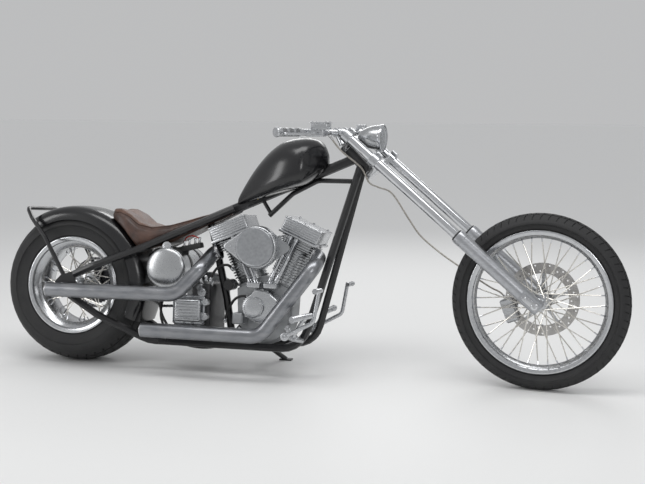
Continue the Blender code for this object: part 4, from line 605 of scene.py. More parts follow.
def grooved(piece, centre, radius, half, pitches, groove, lead, rows, depth):
    """Cuts a tread: slanted bars between the given bands, and ring grooves along them."""
    step = math.tau / (pitches * 2)
    mesh = piece.data
    for vertex in mesh.vertices:
        x, y, z = vertex.co - centre
        reach = math.hypot(x, z)
        if reach < radius * .88:
            continue
        angle = math.atan2(z, x)
        k = round(angle / step)
        angle = (k - (k % 2)) * step + (k % 2) * groove / radius + lead * abs(y) / radius
        vertex.co = centre + Vector((reach * math.cos(angle), y, reach * math.sin(angle)))
    edit_all(piece)
    bpy.ops.mesh.select_all(action="DESELECT")
    bpy.ops.mesh.select_mode(type="FACE")
    bpy.ops.object.mode_set(mode="OBJECT")
    for face in mesh.polygons:
        x, y, z = face.center - centre
        reach = math.hypot(x, z)
        share = abs(y) / half
        angle = math.atan2(z, x) - lead * abs(y) / radius
        narrow = (angle / step) % 2 < groove / radius / step * 1.02
        out = reach > radius * .92 and (face.normal.x * x + face.normal.z * z) > 0
        ring = any(low < share < high for low, high, kind in rows if kind == "ring")
        bar = narrow and any(low < share < high for low, high, kind in rows if kind == "bar")
        face.select = out and (ring or bar)
    edit = sum(face.select for face in mesh.polygons)
    bpy.ops.object.mode_set(mode="EDIT")
    bpy.ops.mesh.extrude_region_shrink_fatten(
        TRANSFORM_OT_shrink_fatten={"value": -depth, "use_even_offset": False})
    bpy.ops.mesh.select_mode(type="VERT")
    bpy.ops.object.mode_set(mode="OBJECT")
    return edit


tread_rows = {
    "front": (0.0042, .45, ((.045, .125, "ring"), (.36, .44, "ring"), (.13, .36, "bar"),
                            (.50, .88, "bar")), .0032, 28),
    "rear": (0.0065, .60, ((.18, .235, "ring"), (.54, .595, "ring"), (.03, .18, "bar"),
                           (.24, .54, "bar"), (.60, .96, "bar")), .0050, 40),
}
for side, centre, radius, half, crown, rim_radius, rim_half, pitches in wheel_rows:
    groove, lead, rows, depth, across = tread_rows[side]
    section = tyre_section(radius, half, crown, rim_radius, rim_half, across)
    tyre = spun(section, centre, steps=pitches * 2)
    cut = grooved(tyre, centre, radius, half, pitches, groove, lead, rows, depth)
    settled(tyre, f"{side}_tyre_treaded", "tyre_rubber", f"{side}_wheel", sharp=30)
    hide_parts(f"{side}_tyre")
    print(side, "tyre:", len(tyre.data.polygons), "faces,", cut, "cut")

# %% [markdown]
# ## Rims
# The rims are spun aluminium, polished, with a rolled lip, a step where the tyre's bead
# sits and a well in the middle, where the spokes' nipples come through. The section is
# drawn once and spun in fine steps, because its edge is seen all the way round.

# %% Rims with rolled lips
for side, centre, radius, half, crown, rim_radius, rim_half, pitches in wheel_rows:
    well = .013 if side == "front" else .026
    seat = rim_radius - 2 * rim_wall
    low = seat - well
    seat_y = rim_half - rim_wall - .018
    well_y = seat_y - well / 2
    lip = [(rim_radius - .0010, rim_half), (rim_radius + .0016, rim_half - .0018),
           (rim_radius + .0014, rim_half - .0046), (rim_radius - .0022, rim_half - .0058),
           (seat + .002, rim_half - .0060), (seat, rim_half - .0080)]
    over = lip + [(seat, seat_y + .004), (low + .002, well_y + .001), (low, well_y - .002)]
    under = [(low - rim_wall, well_y - .003), (low - rim_wall + .002, well_y + .002),
             (seat - rim_wall, seat_y + .006), (seat - rim_wall, rim_half - .012),
             (seat - rim_wall + .002, rim_half - .004), (rim_radius - .005, rim_half)]
    section = ([(r, y) for r, y in over] + [(r, -y) for r, y in reversed(over)]
               + [(r, -y) for r, y in reversed(under)] + under)
    rim = spun(section, centre, steps=128)
    settled(rim, f"{side}_rim_spun", "rim_alloy", f"{side}_wheel", sharp=40)
    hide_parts(f"{side}_rim")

# %% [markdown]
# ## Hubs and spokes
# Forty stainless spokes cross from flanged hubs to the rim, every second one from the other
# flange. A spoke is a round wire that leaves its flange with an elbow, and ends in a
# chromed nipple at the rim. One spoke of each family is drawn, and nine
# copies of it are turned about the axle.

# %% Hubs, spokes and nipples
spoke_count = 40
spoke_cross = math.radians(62.0)
hub_rows = (
    # side, centre, rim's inner radius, rim spread, hub half, flange, right end, left end
    ("front", front_axle, 0.2495, 0.002, 0.034, 0.036, 0.060, 0.060),
    ("rear", rear_axle, 0.1610, 0.030, 0.060, 0.048, 0.098, 0.133),
)
for side, centre, reach, spread, hub_half, flange, right_end, left_end in hub_rows:
    waist = flange * .60
    flange_y = hub_half - .006
    bore = .0112
    hub = spun([(bore, -right_end), (waist - .002, -right_end), (waist, -right_end + .002),
                (waist, -hub_half - .002), (flange - .001, -hub_half), (flange, -hub_half + .001),
                (flange, -flange_y), (waist + .003, -flange_y + .003), (waist, -flange_y + .010),
                (waist * .94, 0),
                (waist, flange_y - .010), (waist + .003, flange_y - .003), (flange, flange_y),
                (flange, hub_half - .001), (flange - .001, hub_half), (waist, hub_half + .002),
                (waist, left_end - .002), (waist - .002, left_end), (bore, left_end)],
               centre, steps=48)
    settled(hub, f"{side}_hub", "polished_alloy", f"{side}_wheel")
    wires, nipples = [], []
    step = math.tau / spoke_count
    for flank in (-1, 1):
        for lead in (-1, 1):
            head_y = flank * ((hub_half + flange_y) / 2 + lead * .0036)
            rim_angle = (lead + 1) * step / 2 + flank * step
            hub_angle = rim_angle - lead * spoke_cross
            hole = flange - .006
            start = Vector((hole * math.cos(hub_angle), head_y, hole * math.sin(hub_angle)))
            end = Vector((reach * math.cos(rim_angle), flank * spread,
                          reach * math.sin(rim_angle)))
            way = (end - start).normalized()
            elbow = start - left * flank * lead * .0040
            wire = tube([elbow, start, start + way * .004, end - way * .010], .0025, 8)
            nipple = turned([(.0024, -.015), (.0031, -.013), (.0031, -.003), (.0038, -.001),
                             (.0038, .0)], end, way, 8)
            turns = [Matrix.Translation(centre) @ Matrix.Rotation(math.tau * i / 10, 4, "Y")
                     for i in range(10)]
            wires += copies(wire, turns)
            nipples += copies(nipple, turns)
    wires = settled(joined(wires), f"{side}_wires", "spoke_steel", f"{side}_wheel", sharp=50)
    settled(joined(nipples), f"{side}_nipples", "chrome", f"{side}_wheel")
    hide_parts(f"{side}_spokes")
    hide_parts(f"{side}_spokes")
    print(side, "spokes:", len(wires.data.polygons), "faces")

# %% [markdown]
# ## Engine
# The engine is an air-cooled V-twin. Its barrels are castings turned with thin, close fins,
# which the coarse solids only hint at, so the barrels, heads and rocker boxes are modelled
# again here. A barrel is one turned profile that steps in and out once for each fin.

# %% Directions in the engine
cylinder_angle = math.radians(22.5)
cylinder_base, cylinder_top, head_top, rocker_top = .178, .330, .372, .440
engine_sides = ((-1, "rear"), (1, "front"))
case_face = -.062


def cylinder_way(side):
    """Up a cylinder: 1 is the front one and -1 the rear one."""
    return Vector((side * math.sin(cylinder_angle), 0, math.cos(cylinder_angle)))


def cylinder_out(side):
    """Square to a cylinder, away from the middle of the V."""
    return Vector((side * math.cos(cylinder_angle), 0, -math.sin(cylinder_angle)))


def cylinder_turn(side):
    """The turn from the room to a cylinder's own directions."""
    out = cylinder_out(side) * side
    return Matrix((out, left, out.cross(left))).transposed()


def head_place(side, forward, across, up):
    """A place on a head: out of the V, across the machine, and up from the barrel's top."""
    return (crank + cylinder_way(side) * (cylinder_top + up) + cylinder_out(side) * forward
            + left * across)


# %% Barrels, heads and rocker boxes
fin_count, barrel_radius, fin_radius = 13, .0605, .0715
for side, name in engine_sides:
    way, turn = cylinder_way(side), cylinder_turn(side)
    pitch = (cylinder_top - cylinder_base) / fin_count
    profile = [(barrel_radius, cylinder_base)]
    for i in range(fin_count):
        base = cylinder_base + pitch * i
        reach = fin_radius if i > 1 else barrel_radius + .004
        profile += [(barrel_radius, base + pitch * .50), (reach - .0010, base + pitch * .56),
                    (reach, base + pitch * .64), (reach, base + pitch * .84),
                    (reach - .0010, base + pitch * .92), (barrel_radius, base + pitch * .98)]
    barrel = turned(profile, crank, way, 56)
    settled(barrel, f"{name}_barrel", "fin_alloy", "frame", sharp=30)
    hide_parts(f"{name}_cylinder")
    # The head: four fins that stand out square from a core
    height = head_top - cylinder_top - .0006
    middle = crank + way * (head_top + cylinder_top) / 2
    shapes = [block((.127, .129, height), middle, turn, .010, 3)]
    for i in range(4):
        lift = height * ((i + .5) / 4 - .5)
        shapes.append(block((.148, .150, .0042), middle + way * lift, turn, .0016, 2))
    head = joined(shapes)
    settled(head, f"{name}_head_fins", "fin_alloy", "frame")
    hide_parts(f"{name}_head")
    # The rocker box: a smooth core with ribs along each flank, on a rail, under a lid
    base = crank + way * (head_top + .0003) - left * .012
    tall = rocker_top - head_top - .0006
    shapes = [block((.176, .185, .010), base + way * .005, turn, .0030, 2),
              block((.166, .168, tall - .009), base + way * (tall - .009) / 2 + way * .008,
                    turn, .0060, 3)]
    for i in range(5):
        lift = .0165 + i * .0096
        shapes.append(block((.150, .1795 - i * .0014, .0054), base + way * lift, turn, .0014, 2))
    shapes.append(block((.168, .172, .0075), base + way * (tall - .0040), turn, .0030, 3))
    box = joined(shapes)
    settled(box, f"{name}_rocker_cover", "polished_alloy", "frame")
    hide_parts(f"{name}_rocker_box")
    lid = [(base + way * (tall - .0004) + turn @ Vector((u * .066, v * .070, 0)), way)
           for u in (-1, 0, 1) for v in (-1, 1)]
    rail = [(base + way * .0102 + turn @ Vector((u * .0825, v * .0860, 0)), way)
            for u in (-1, 1) for v in (-.62, .62)]
    settled(set_out(screw_head, .0045, lid), f"{name}_lid_screws", "chrome", "frame")
    settled(set_out(screw_head, .0034, rail), f"{name}_rail_screws", "chrome", "frame")
    feet = ring_of(4, crank + way * (cylinder_base + .001), way, .0665, math.pi / 4)
    settled(set_out(hex_nut, .0055, feet), f"{name}_base_nuts", "brushed_steel", "frame")
print("barrel fins:", fin_count)

# %% [markdown]
# ## Pushrod tubes
# Between the timing case and each rocker box stand two chromed telescopic tubes. A collar
# and a spring clip close each one, and their splay is part of the engine's face.

# %% Pushrod tubes and tappet blocks
for side, name in engine_sides:
    shapes = []
    foot_middle = crank + Vector((side * .036, -.096, .150))
    for reach in (-1, 1):
        foot = foot_middle + Vector((reach * .013, 0, 0))
        top = head_place(side, reach * side * .014 - .018, -.088, .0412)
        long = (top - foot).length
        shapes.append(turned([(.0112, 0), (.0112, .012), (.0098, .014), (.0098, .030),
                              (.0106, .031), (.0106, .035), (.0083, .037), (.0083, long * .55),
                              (.0100, long * .56), (.0100, long * .60), (.0078, long * .62),
                              (.0078, long - .016), (.0100, long - .014), (.0100, long)],
                             foot, top - foot, 24))
    tubes = settled(joined(shapes), f"{name}_pushrod_tubes", "chrome", "frame")
    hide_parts(f"{name}_pushrods")
    tappet = block((.056, .034, .022), foot_middle, None, .0035, 3)
    settled(tappet, f"{name}_tappet_block", "polished_alloy", "frame")
    held = [(foot_middle + Vector((u * .023, v * .012, .011)), upward)
            for u in (-1, 1) for v in (-1, 1)]
    settled(set_out(screw_head, .0032, held), f"{name}_tappet_screws", "chrome", "frame")

# %% [markdown]
# ## Covers cut from an outline
# The air cleaner and the timing case have covers whose outline runs from a round end to a
# narrow one. Such a cover starts as a filled outline, which is extruded towards the viewer
# and drawn in a little at each step, so that its edge comes out softly rounded.

# %% Covers
def arc(centre, radius, start, end, steps):
    """Points (along, up) on an arc, with its angles in degrees."""
    return [(centre[0] + radius * math.cos(math.radians(start + (end - start) * i / steps)),
             centre[1] + radius * math.sin(math.radians(start + (end - start) * i / steps)))
            for i in range(steps + 1)]


def cover(outline, levels, centre):
    """An outline extruded towards the machine's right: levels are (depth, share) pairs."""
    nothing_selected()
    bpy.ops.mesh.primitive_circle_add(vertices=len(outline), radius=1, fill_type="NGON")
    piece = bpy.context.object
    for vertex, (along, up) in zip(piece.data.vertices, outline):
        vertex.co = (along * levels[0][1], up * levels[0][1], levels[0][0])
    edit_all(piece)
    for (depth, share), (new_depth, new_share) in zip(levels, levels[1:]):
        bpy.ops.mesh.extrude_region_move(
            TRANSFORM_OT_translate={"value": (0, 0, new_depth - depth)})
        grow = new_share / share
        bpy.ops.transform.resize(value=(grow, grow, 1), center_override=(0, 0, new_depth))
    bpy.ops.object.mode_set(mode="OBJECT")
    piece.matrix_world = Matrix.Translation(Vector(centre)) @ Matrix(
        ((1, 0, 0, 0), (0, 0, -1, 0), (0, 1, 0, 0), (0, 0, 0, 1)))
    return closed_up(applied(piece), 0.000001)


def soft_levels(depth, lip, share, steps=6):
    """Straight walls, then a rounded edge that ends at the given share of the outline."""
    found = [(0, 1.0), (depth - lip, 1.0)]
    for i in range(1, steps + 1):
        turn = i / steps * math.pi / 2
        found.append((depth - lip + lip * math.sin(turn), 1 - (1 - share) * (1 - math.cos(turn))))
    return found


cleaner = crank + Vector((.003, -.17325, .308))
cleaner_radius, cleaner_tail, tail_radius, cleaner_depth = .0868, .1398, .014, .0618
tangent = math.degrees(math.acos((tail_radius - cleaner_radius) / (cleaner_tail - tail_radius)))
outline = arc((0, 0), cleaner_radius, -tangent, tangent, 56)
outline += arc((tail_radius - cleaner_tail, 0), tail_radius, tangent, 360 - tangent, 10)
shell = cover(outline, soft_levels(cleaner_depth * .70, .014, .90), cleaner)
settled(shell, "air_cleaner_shell", "polished_alloy", "frame", sharp=40)
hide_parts("air_cleaner")
# The round lid stands proud of the shell, and its face is left bare
lid = [(.0795, cleaner_depth * .60), (.0795, cleaner_depth * .86), (.0785, cleaner_depth * .925),
       (.0760, cleaner_depth * .965), (.0720, cleaner_depth * .975), (.0712, cleaner_depth * .965),
       (.0050, cleaner_depth * .968)]
settled(turned(lid, cleaner, -left, 96), "air_cleaner_lid", "blasted_alloy", "frame", sharp=30)
cleaner_screws = [(cleaner + Vector((-.104, .0004 - cleaner_depth * .70, 0)), -left)]
settled(set_out(screw_head, .0040, cleaner_screws), "air_cleaner_screws", "chrome", "frame")
print("air cleaner:", len(outline), "points round")

cam_middle = crank + Vector((-.023, 0, .062))
cam = arc((0, 0), .055, 110, 240, 22)
cam += arc((.028, -.014), .055, 250, 310, 10)
cam += arc((.084, .020), .022, -50, 55, 10)
cam += [(.055 * .95, .055 * 1.28), (.020, .055 * 1.34), (0.0, .055 * 1.36)]
case = cover(cam, soft_levels(.0698, .020, .87), Vector((cam_middle.x, case_face - .0003,
                                                         cam_middle.z)))
settled(case, "timing_cover", "polished_alloy", "frame", sharp=40)
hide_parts("cam_cover")
points = Vector((cam_middle.x, case_face - .0703, cam_middle.z))
cap = turned([(.0430, -.016), (.0430, .0075), (.0418, .0100), (.0385, .0110), (.0375, .0098),
              (.0352, .0098), (.0342, .0112), (.0250, .0132), (.0060, .0139)], points, -left, 64)
settled(cap, "points_cap", "polished_alloy", "frame")
settled(set_out(screw_head, .0032, ring_of(2, points - left * .0098, -left, .0363, .5)),
        "points_screws", "chrome", "frame")
# One of these seven stands proud. Where the lid is full, its face lies over the others.
cam_screws = [(Vector((cam_middle.x + u, case_face - .0640, cam_middle.z + v)), -left)
              for u, v in ((-.036, -.038), (-.044, .022), (.046, -.052), (.086, .020),
                           (.042, .050), (.004, .058), (.010, -.050))]
settled(set_out(screw_head, .0036, cam_screws), "timing_screws", "chrome", "frame")

# %% [markdown]
# ## Exhausts
# Two raw steel pipes sweep from the ports to open ends. They are drawn as an open tube of
# fine steps, and a Solidify modifier gives them their wall, so that the ends are hollow as
# on the real ones. A clamp with two nuts holds each at its port.

# %% Pipes and port clamps
pipe_rows = (
    # name, side of the engine, bends, corners after the port
    ("front", 1, (.027, .050, .080), ((.5600, -1.16, .511), (.4527, -1.28, .189),
                                      (.195, -1.28, .189))),
    ("rear", -1, (.027, .040, .070), ((.3150, -1.08, .480), (.2710, -1.36, .359),
                                      (-.0205, -1.36, .354))),
)
pipe_radius = .030
for name, side, bends, shares in pipe_rows:
    port = [head_place(side, .0743, -.062, .010), head_place(side, .1043, -.062, .010)]
    line = rounded(port + [at(*share) for share in shares], bends, 10)
    pipe = tube(line, pipe_radius - .0001, 40, capped=False)
    wall = pipe.modifiers.new("wall", "SOLIDIFY")
    wall.thickness, wall.offset = .0020, -1
    bpy.ops.object.modifier_apply(modifier=wall.name)
    pipe = closed_up(pipe)
    settled(pipe, f"{name}_pipe", "pipe_steel", "frame", sharp=50)
    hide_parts(f"{name}_exhaust")
    way = (port[1] - port[0]).normalized()
    clamp = spun([(.0302, 0), (.0350, 0), (.0362, .0015), (.0362, .0085), (.0350, .010),
                  (.0302, .010)], port[0] + way * .0020, way, 40)
    settled(clamp, f"{name}_port_clamp", "brushed_steel", "frame")
    nuts = [(place, way) for place, _ in ring_of(2, port[0] + way * .0125, way, .0410, .3)]
    ears = joined([turned([(.0075, -.008), (.0075, 0)], place, way, 20) for place, _ in nuts])
    settled(ears, f"{name}_clamp_ears", "brushed_steel", "frame")
    settled(set_out(hex_nut, .0052, nuts), f"{name}_clamp_nuts", "brushed_steel", "frame")
    rim = spun([(.0280, -.003), (.0303, -.003), (.0303, -.0006), (.0299, .0002), (.0284, .0002),
                (.0280, -.0006)], line[-1], (line[-1] - line[-2]).normalized(), 40)
    settled(rim, f"{name}_pipe_lip", "brushed_steel", "frame")
print("pipes:", len(pipe_rows))

# %% [markdown]
# ## Tank and fender
# Both are sheet steel, beaten and rolled into smooth curves. Their solids already have the
# right shape in coarse steps, so copies of them are turned back into quads, their hard edges
# are creased, and a Subdivision Surface modifier rounds what is between.

# %% Tank, fender and the tank's fittings
tank = refined("fuel_tank", levels=2, sharper_than=50, crease=.95)
settled(tank, "tank_shell", "tank_black", "frame", upright=False, sharp=50)
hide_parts("fuel_tank")
fender = refined("rear_fender", levels=2, sharper_than=40, crease=1.0)
settled(fender, "fender_shell", "tank_black", "frame", upright=False, sharp=45)
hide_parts("rear_fender")

cap_place = Vector((.98497, 0, .962))
cap = turned([(.0245, .0003), (.0245, .002), (.0292, .005), (.0298, .0070), (.0298, .0118),
              (.0288, .0132), (.0262, .0142), (.0200, .0150), (.0192, .0142), (.0050, .0142)],
             cap_place, upward, 60)
settled(cap, "filler_cap", "spun_alloy", "frame")
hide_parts("fuel_cap")
tap = Vector((.800, -.030, .742))
tap_parts = [turned([(.0080, .010), (.0080, -.004), (.0062, -.006), (.0062, -.026)], tap,
                    upward, 20),
             turned([(.0058, -.006), (.0058, .014), (.0072, .016), (.0072, .020)],
                    tap - upward * .014, -left, 16)]
settled(joined(tap_parts), "fuel_tap", "brass", "frame")
print("tank:", len(tank.data.polygons), "faces; fender:", len(fender.data.polygons))

# %% [markdown]
# ## Seat
# The seat is a thin solo saddle: a pan, a slab of foam and a brown hide drawn over it and
# sewn. Foam swells between its seams, so a copy of the solid is shrunk a little, remeshed in
# even cells and blown up as cloth under light pressure. How far any point may move is
# capped. The seams, their piping and the stitches are laid on afterwards.

# %% Leather
def leather(name, dark, pale):
    """Waxed hide: blotches of two browns, paler where it creases, over a fine pebble grain."""
    made = surface(name, dark, pale, (.34, .52), scale=16, coat=.10, detail=6)
    tree = made.node_tree
    shader = tree.nodes["Principled BSDF"]
    places = tree.nodes["Texture Coordinate"]
    pebble = node_in(tree, "TexVoronoi", Scale=620)
    crease = node_in(tree, "TexNoise", Scale=46, Detail=8, Distortion=1.4)
    both = tree.nodes.new("ShaderNodeMath")
    both.operation = "MULTIPLY_ADD"
    both.inputs[1].default_value = 1.6
    relief = node_in(tree, "Bump", Strength=.42, Distance=.0010)
    tree.links.new(places.outputs["Object"], pebble.inputs["Vector"])
    tree.links.new(places.outputs["Object"], crease.inputs["Vector"])
    tree.links.new(crease.outputs["Fac"], both.inputs[0])
    tree.links.new(pebble.outputs["Distance"], both.inputs[2])
    tree.links.new(both.outputs["Value"], relief.inputs["Height"])
    tree.links.new(relief.outputs["Normal"], shader.inputs["Normal"])
    return made


looks["brown_leather"] = leather("brown_hide", (.028, .013, .009), (.085, .040, .026))
looks["panel_leather"] = leather("panel_hide", (.050, .024, .016), (.130, .064, .040))
looks["thread"] = surface("waxed_thread", (.16, .10, .06), (.26, .18, .11), (.55, .70),
                          scale=300)


# %% The seat's foam, blown up as cloth
def blown_up(piece, cell, pressure, cap, frames=20, shrink=.0015):
    """Remeshes a pad in even cells, swells it as cloth, and caps how far a point moves."""
    nothing_selected()
    bpy.context.view_layer.objects.active = piece
    piece.select_set(True)
    remesh = piece.modifiers.new("cells", "REMESH")
    remesh.mode = "VOXEL"
    remesh.voxel_size = cell
    bpy.ops.object.modifier_apply(modifier=remesh.name)
    mesh = piece.data
    normals = [v.normal.copy() for v in mesh.vertices]
    for vertex, normal in zip(mesh.vertices, normals):
        vertex.co -= normal * shrink
    before = [v.co.copy() for v in mesh.vertices]
    cloth = piece.modifiers.new("foam", "CLOTH")
    cloth.settings.use_pressure = True
    cloth.settings.uniform_pressure_force = pressure
    cloth.settings.quality = 5
    cloth.settings.tension_stiffness = 15
    cloth.settings.effector_weights.gravity = 0
    scene = bpy.context.scene
    for frame_number in range(1, frames + 1):
        scene.frame_set(frame_number)
    bpy.ops.object.modifier_apply(modifier=cloth.name)
    scene.frame_set(1)
    moved = 0.0
    for vertex, home in zip(piece.data.vertices, before):
        away = vertex.co - home
        if away.length > cap:
            vertex.co = home + away.normalized() * cap
        moved = max(moved, (vertex.co - home).length)
    print("seat swelled by at most", round(moved * 1000, 1), "mm")
    return piece


nothing_selected()
saddle = nodes["seat"].copy()
saddle.data = nodes["seat"].data.copy()
bpy.context.scene.collection.objects.link(saddle)
closed_up(saddle)
saddle = blown_up(saddle, .0045, 4.0, .0045)
relax = saddle.modifiers.new("relax", "SMOOTH")
relax.factor, relax.iterations = .5, 6
nothing_selected()
bpy.context.view_layer.objects.active = saddle
saddle.select_set(True)
bpy.ops.object.modifier_apply(modifier=relax.name)
settled(saddle, "saddle", "brown_leather", "frame", upright=False, sharp=60)
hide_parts("seat")
print("saddle:", len(saddle.data.polygons), "faces")

# %% [markdown]
# ## The seat's panel and its stitches
# A second, paler hide lies inside the border: its outline runs a thumb's width in from the
# edge, from the kicked-up tail to the nose. It is made by casting points down on the foam
# from above, so that it follows every swell, with a rolled edge and a row of stitches.

# %% Panel, piping and stitches
lean_back = stood.inverted()
skin = bmesh.new()
skin.from_mesh(saddle.data)
skin.transform(lean_back)
tree_of_skin = BVHTree.FromBMesh(skin)
seat_stations = (
    # along, half width of the panel
    (.186, .086), (.196, .094), (.215, .100), (.250, .102), (.290, .098), (.340, .095),
    (.395, .090), (.450, .080), (.505, .068), (.555, .055), (.600, .044), (.640, .036),
    (.665, .030), (.676, .022),
)


def on_seat(x, y, lift):
    """The point on the foam below a place, lifted along the hide's own normal."""
    hit, normal, _, _ = tree_of_skin.ray_cast(Vector((x, y, .80)), Vector((0, 0, -1)), .5)
    if hit is None:
        return None
    return hit + normal * lift


def along_stations(stations, steps):
    """Evenly smoothed stations between the given ones."""
    line = smooth_line([Vector((x, y, 0)) for x, y in stations], steps)
    return [(p.x, p.y) for p in line]


dense = along_stations(seat_stations, 4)
across = 28
panel = bmesh.new()
rows = []
for x, half in dense:
    row = []
    for k in range(across + 1):
        share = 2 * k / across - 1
        edge = 1 - abs(share) ** 10
        point = on_seat(x, half * share, .0005 + .0016 * edge)
        row.append(panel.verts.new(point) if point else None)
    rows.append(row)
for first, second in zip(rows, rows[1:]):
    for k in range(across):
        corners = (first[k], first[k + 1], second[k + 1], second[k])
        if all(corners):
            panel.faces.new(corners)
bmesh.ops.delete(panel, geom=[v for v in panel.verts if not v.link_faces], context="VERTS")
mesh = bpy.data.meshes.new("panel")
panel.to_mesh(mesh)
panel.free()
panel = bpy.data.objects.new("panel", mesh)
bpy.context.scene.collection.objects.link(panel)
nothing_selected()
bpy.context.view_layer.objects.active = panel
panel.select_set(True)
thick = panel.modifiers.new("thick", "SOLIDIFY")
thick.thickness, thick.offset = .0022, -1
bpy.ops.object.modifier_apply(modifier=thick.name)
panel = closed_up(panel)
settled(panel, "seat_panel", "panel_leather", "frame", sharp=60)

border = [(x, half) for x, half in dense] + [(x, -half) for x, half in reversed(dense)]
welt_line = [on_seat(x, y * 1.01, .0012) for x, y in border]
welt_line = [point for point in welt_line if point]
welt_line.append(welt_line[0])
settled(tube(welt_line, .0019, 8), "seat_welt", "brown_leather", "frame", sharp=80)
stitches = []
stitch_inset, stitch_pitch = .0065, .0070
line = [on_seat(x, y - math.copysign(stitch_inset, y), .0028) for x, y in border]
line = [point for point in line if point]
gone = 0.0
for a, b in zip(line, line[1:]):
    way = (b - a).normalized()
    while gone < (b - a).length:
        stitches.append((a + way * gone, way))
        gone += stitch_pitch
    gone -= (b - a).length
stitch = turned([(.0004, -.0022), (.0007, -.0014), (.0007, .0014), (.0004, .0022)], sides=5)
threads = joined(copies(stitch, [Matrix.Translation(p) @ facing(way) for p, way in stitches]))
settled(threads, "seat_stitches", "thread", "frame", sharp=80)
print("stitches:", len(stitches))

# %% [markdown]
# ## Fork
# Two chromed tubes slide in plain brushed legs and are gripped at the top by a pair of forged
# bridges. Tubes and legs are turned. A bridge is an outline filled, extruded and bevelled,
# with a ring spun round each tube. The flat that takes the axle is cut with a Boolean block.

# %% Two more tools: a cut and a plate
def cut_away(piece, cutter):
    """Cuts one shape out of another and removes the cutter."""
    nothing_selected()
    bpy.context.view_layer.objects.active = piece
    piece.select_set(True)
    cut = piece.modifiers.new("cut", "BOOLEAN")
    cut.object = cutter
    cut.solver = "EXACT"
    bpy.ops.object.modifier_apply(modifier=cut.name)
    bpy.data.objects.remove(cutter, do_unlink=True)
    return piece


def plate(outline, thickness, centre, across, ahead, edge=.002, segments=2):
    """A plate from an outline of (across, ahead) points, rounded at its edges."""
    nothing_selected()
    bpy.ops.mesh.primitive_circle_add(vertices=len(outline), radius=1, fill_type="NGON")
    piece = bpy.context.object
    for vertex, (u, v) in zip(piece.data.vertices, outline):
        vertex.co = (u, v, -thickness / 2)
    edit_all(piece)
    bpy.ops.mesh.extrude_region_move(TRANSFORM_OT_translate={"value": (0, 0, thickness)})
    bpy.ops.mesh.select_all(action="SELECT")
    bpy.ops.mesh.normals_make_consistent(inside=False)
    if edge:
        bpy.ops.mesh.select_all(action="DESELECT")
        bpy.ops.mesh.select_mode(type="EDGE")
        bpy.ops.mesh.edges_select_sharp(sharpness=math.radians(40))
        bpy.ops.mesh.bevel(offset=edge, segments=segments, affect="EDGES", clamp_overlap=True)
        bpy.ops.mesh.select_mode(type="VERT")
    bpy.ops.object.mode_set(mode="OBJECT")
    across, ahead = Vector(across).normalized(), Vector(ahead).normalized()
    turn = turned_along(across, ahead)
    piece.matrix_world = Matrix.Translation(Vector(centre)) @ turn
    return closed_up(applied(piece), 0.000001)


# %% Fork tubes, their caps and the sliding legs
lower_middle, upper_middle = Vector((1.27683, 0, .83817)), Vector((1.17317, 0, .94183))
leg_spacing, tube_radius, leg_radius = .115, .0205, .029
leg_top, tube_top, tube_foot = .400, 1.009, .3400
leg_turn = Matrix.Rotation(-fork_rake, 3, "Y")


def on_fork(reach, across=0.0, out=0.0):
    """A place along the legs from the axle, across, and ahead of the legs."""
    return front_axle + fork_up * reach + fork_out * out + left * across


for side, name in ((-1, "right"), (1, "left")):
    y = side * leg_spacing
    foot = front_axle + left * y
    tube_piece = turned([(tube_radius, tube_foot), (tube_radius, tube_top)], foot, fork_up, 64)
    settled(tube_piece, f"{name}_chromed_tube", "chrome", "fork")
    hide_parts(f"{name}_fork_tube")
    cap = turned([(.0205, tube_top), (.0224, tube_top + .001), (.0224, tube_top + .010),
                  (.0205, tube_top + .0130), (.0150, tube_top + .0138), (.0100, tube_top + .0138),
                  (.0095, tube_top + .0080)], foot, fork_up, 48)
    settled(cap, f"{name}_fork_cap", "polished_alloy", "fork")
    leg = turned([(.0250, -.0219), (.0285, -.0185), (.0290, -.016), (.0290, .3695),
                  (.0300, .3705), (.0301, .3950), (.0292, .3985), (.0275, .3998),
                  (.0213, .3998), (.0209, .3985), (.0209, .3405)], foot, fork_up, 64)
    cut_away(leg, block((.070, .018, .095), on_fork(.0215, y + side * leg_radius), leg_turn,
                        edge=0))
    settled(leg, f"{name}_leg", "pipe_satin", "fork")
    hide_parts(f"{name}_slider")
    pad = plate([(u * .0125, v) for u, v in ((-1, -.026), (1, -.026), (1, .040), (.7, .046),
                                             (-.7, .046), (-1, .040))], .0028,
                on_fork(.012, y + side * (leg_radius - .0076)), fork_out, fork_up, .0008)
    bolts = [set_out(screw_head, .0068, [(on_fork(.046, y + side * (leg_radius - .0064)),
                                          left * side)]),
             turned([(.0128, -.0010), (.0128, .0016), (.0112, .0026), (.0060, .0026),
                     (.0055, .0010)], on_fork(0, y + side * (leg_radius - .0060)), left * side, 32)]
    settled(pad, f"{name}_axle_clamp", "rim_alloy", "fork")
    settled(joined(bolts), f"{name}_axle_bolts", "chrome", "fork")
    wiper = turned([(.0262, -.0005), (.0262, .0035), (.0238, .0060), (.0209, .0062),
                    (.0209, -.0005)], on_fork(leg_top, y), fork_up, 48)
    settled(wiper, f"{name}_dust_seal", "black_rubber", "fork")
print("legs:", len(leg.data.polygons), "faces each")

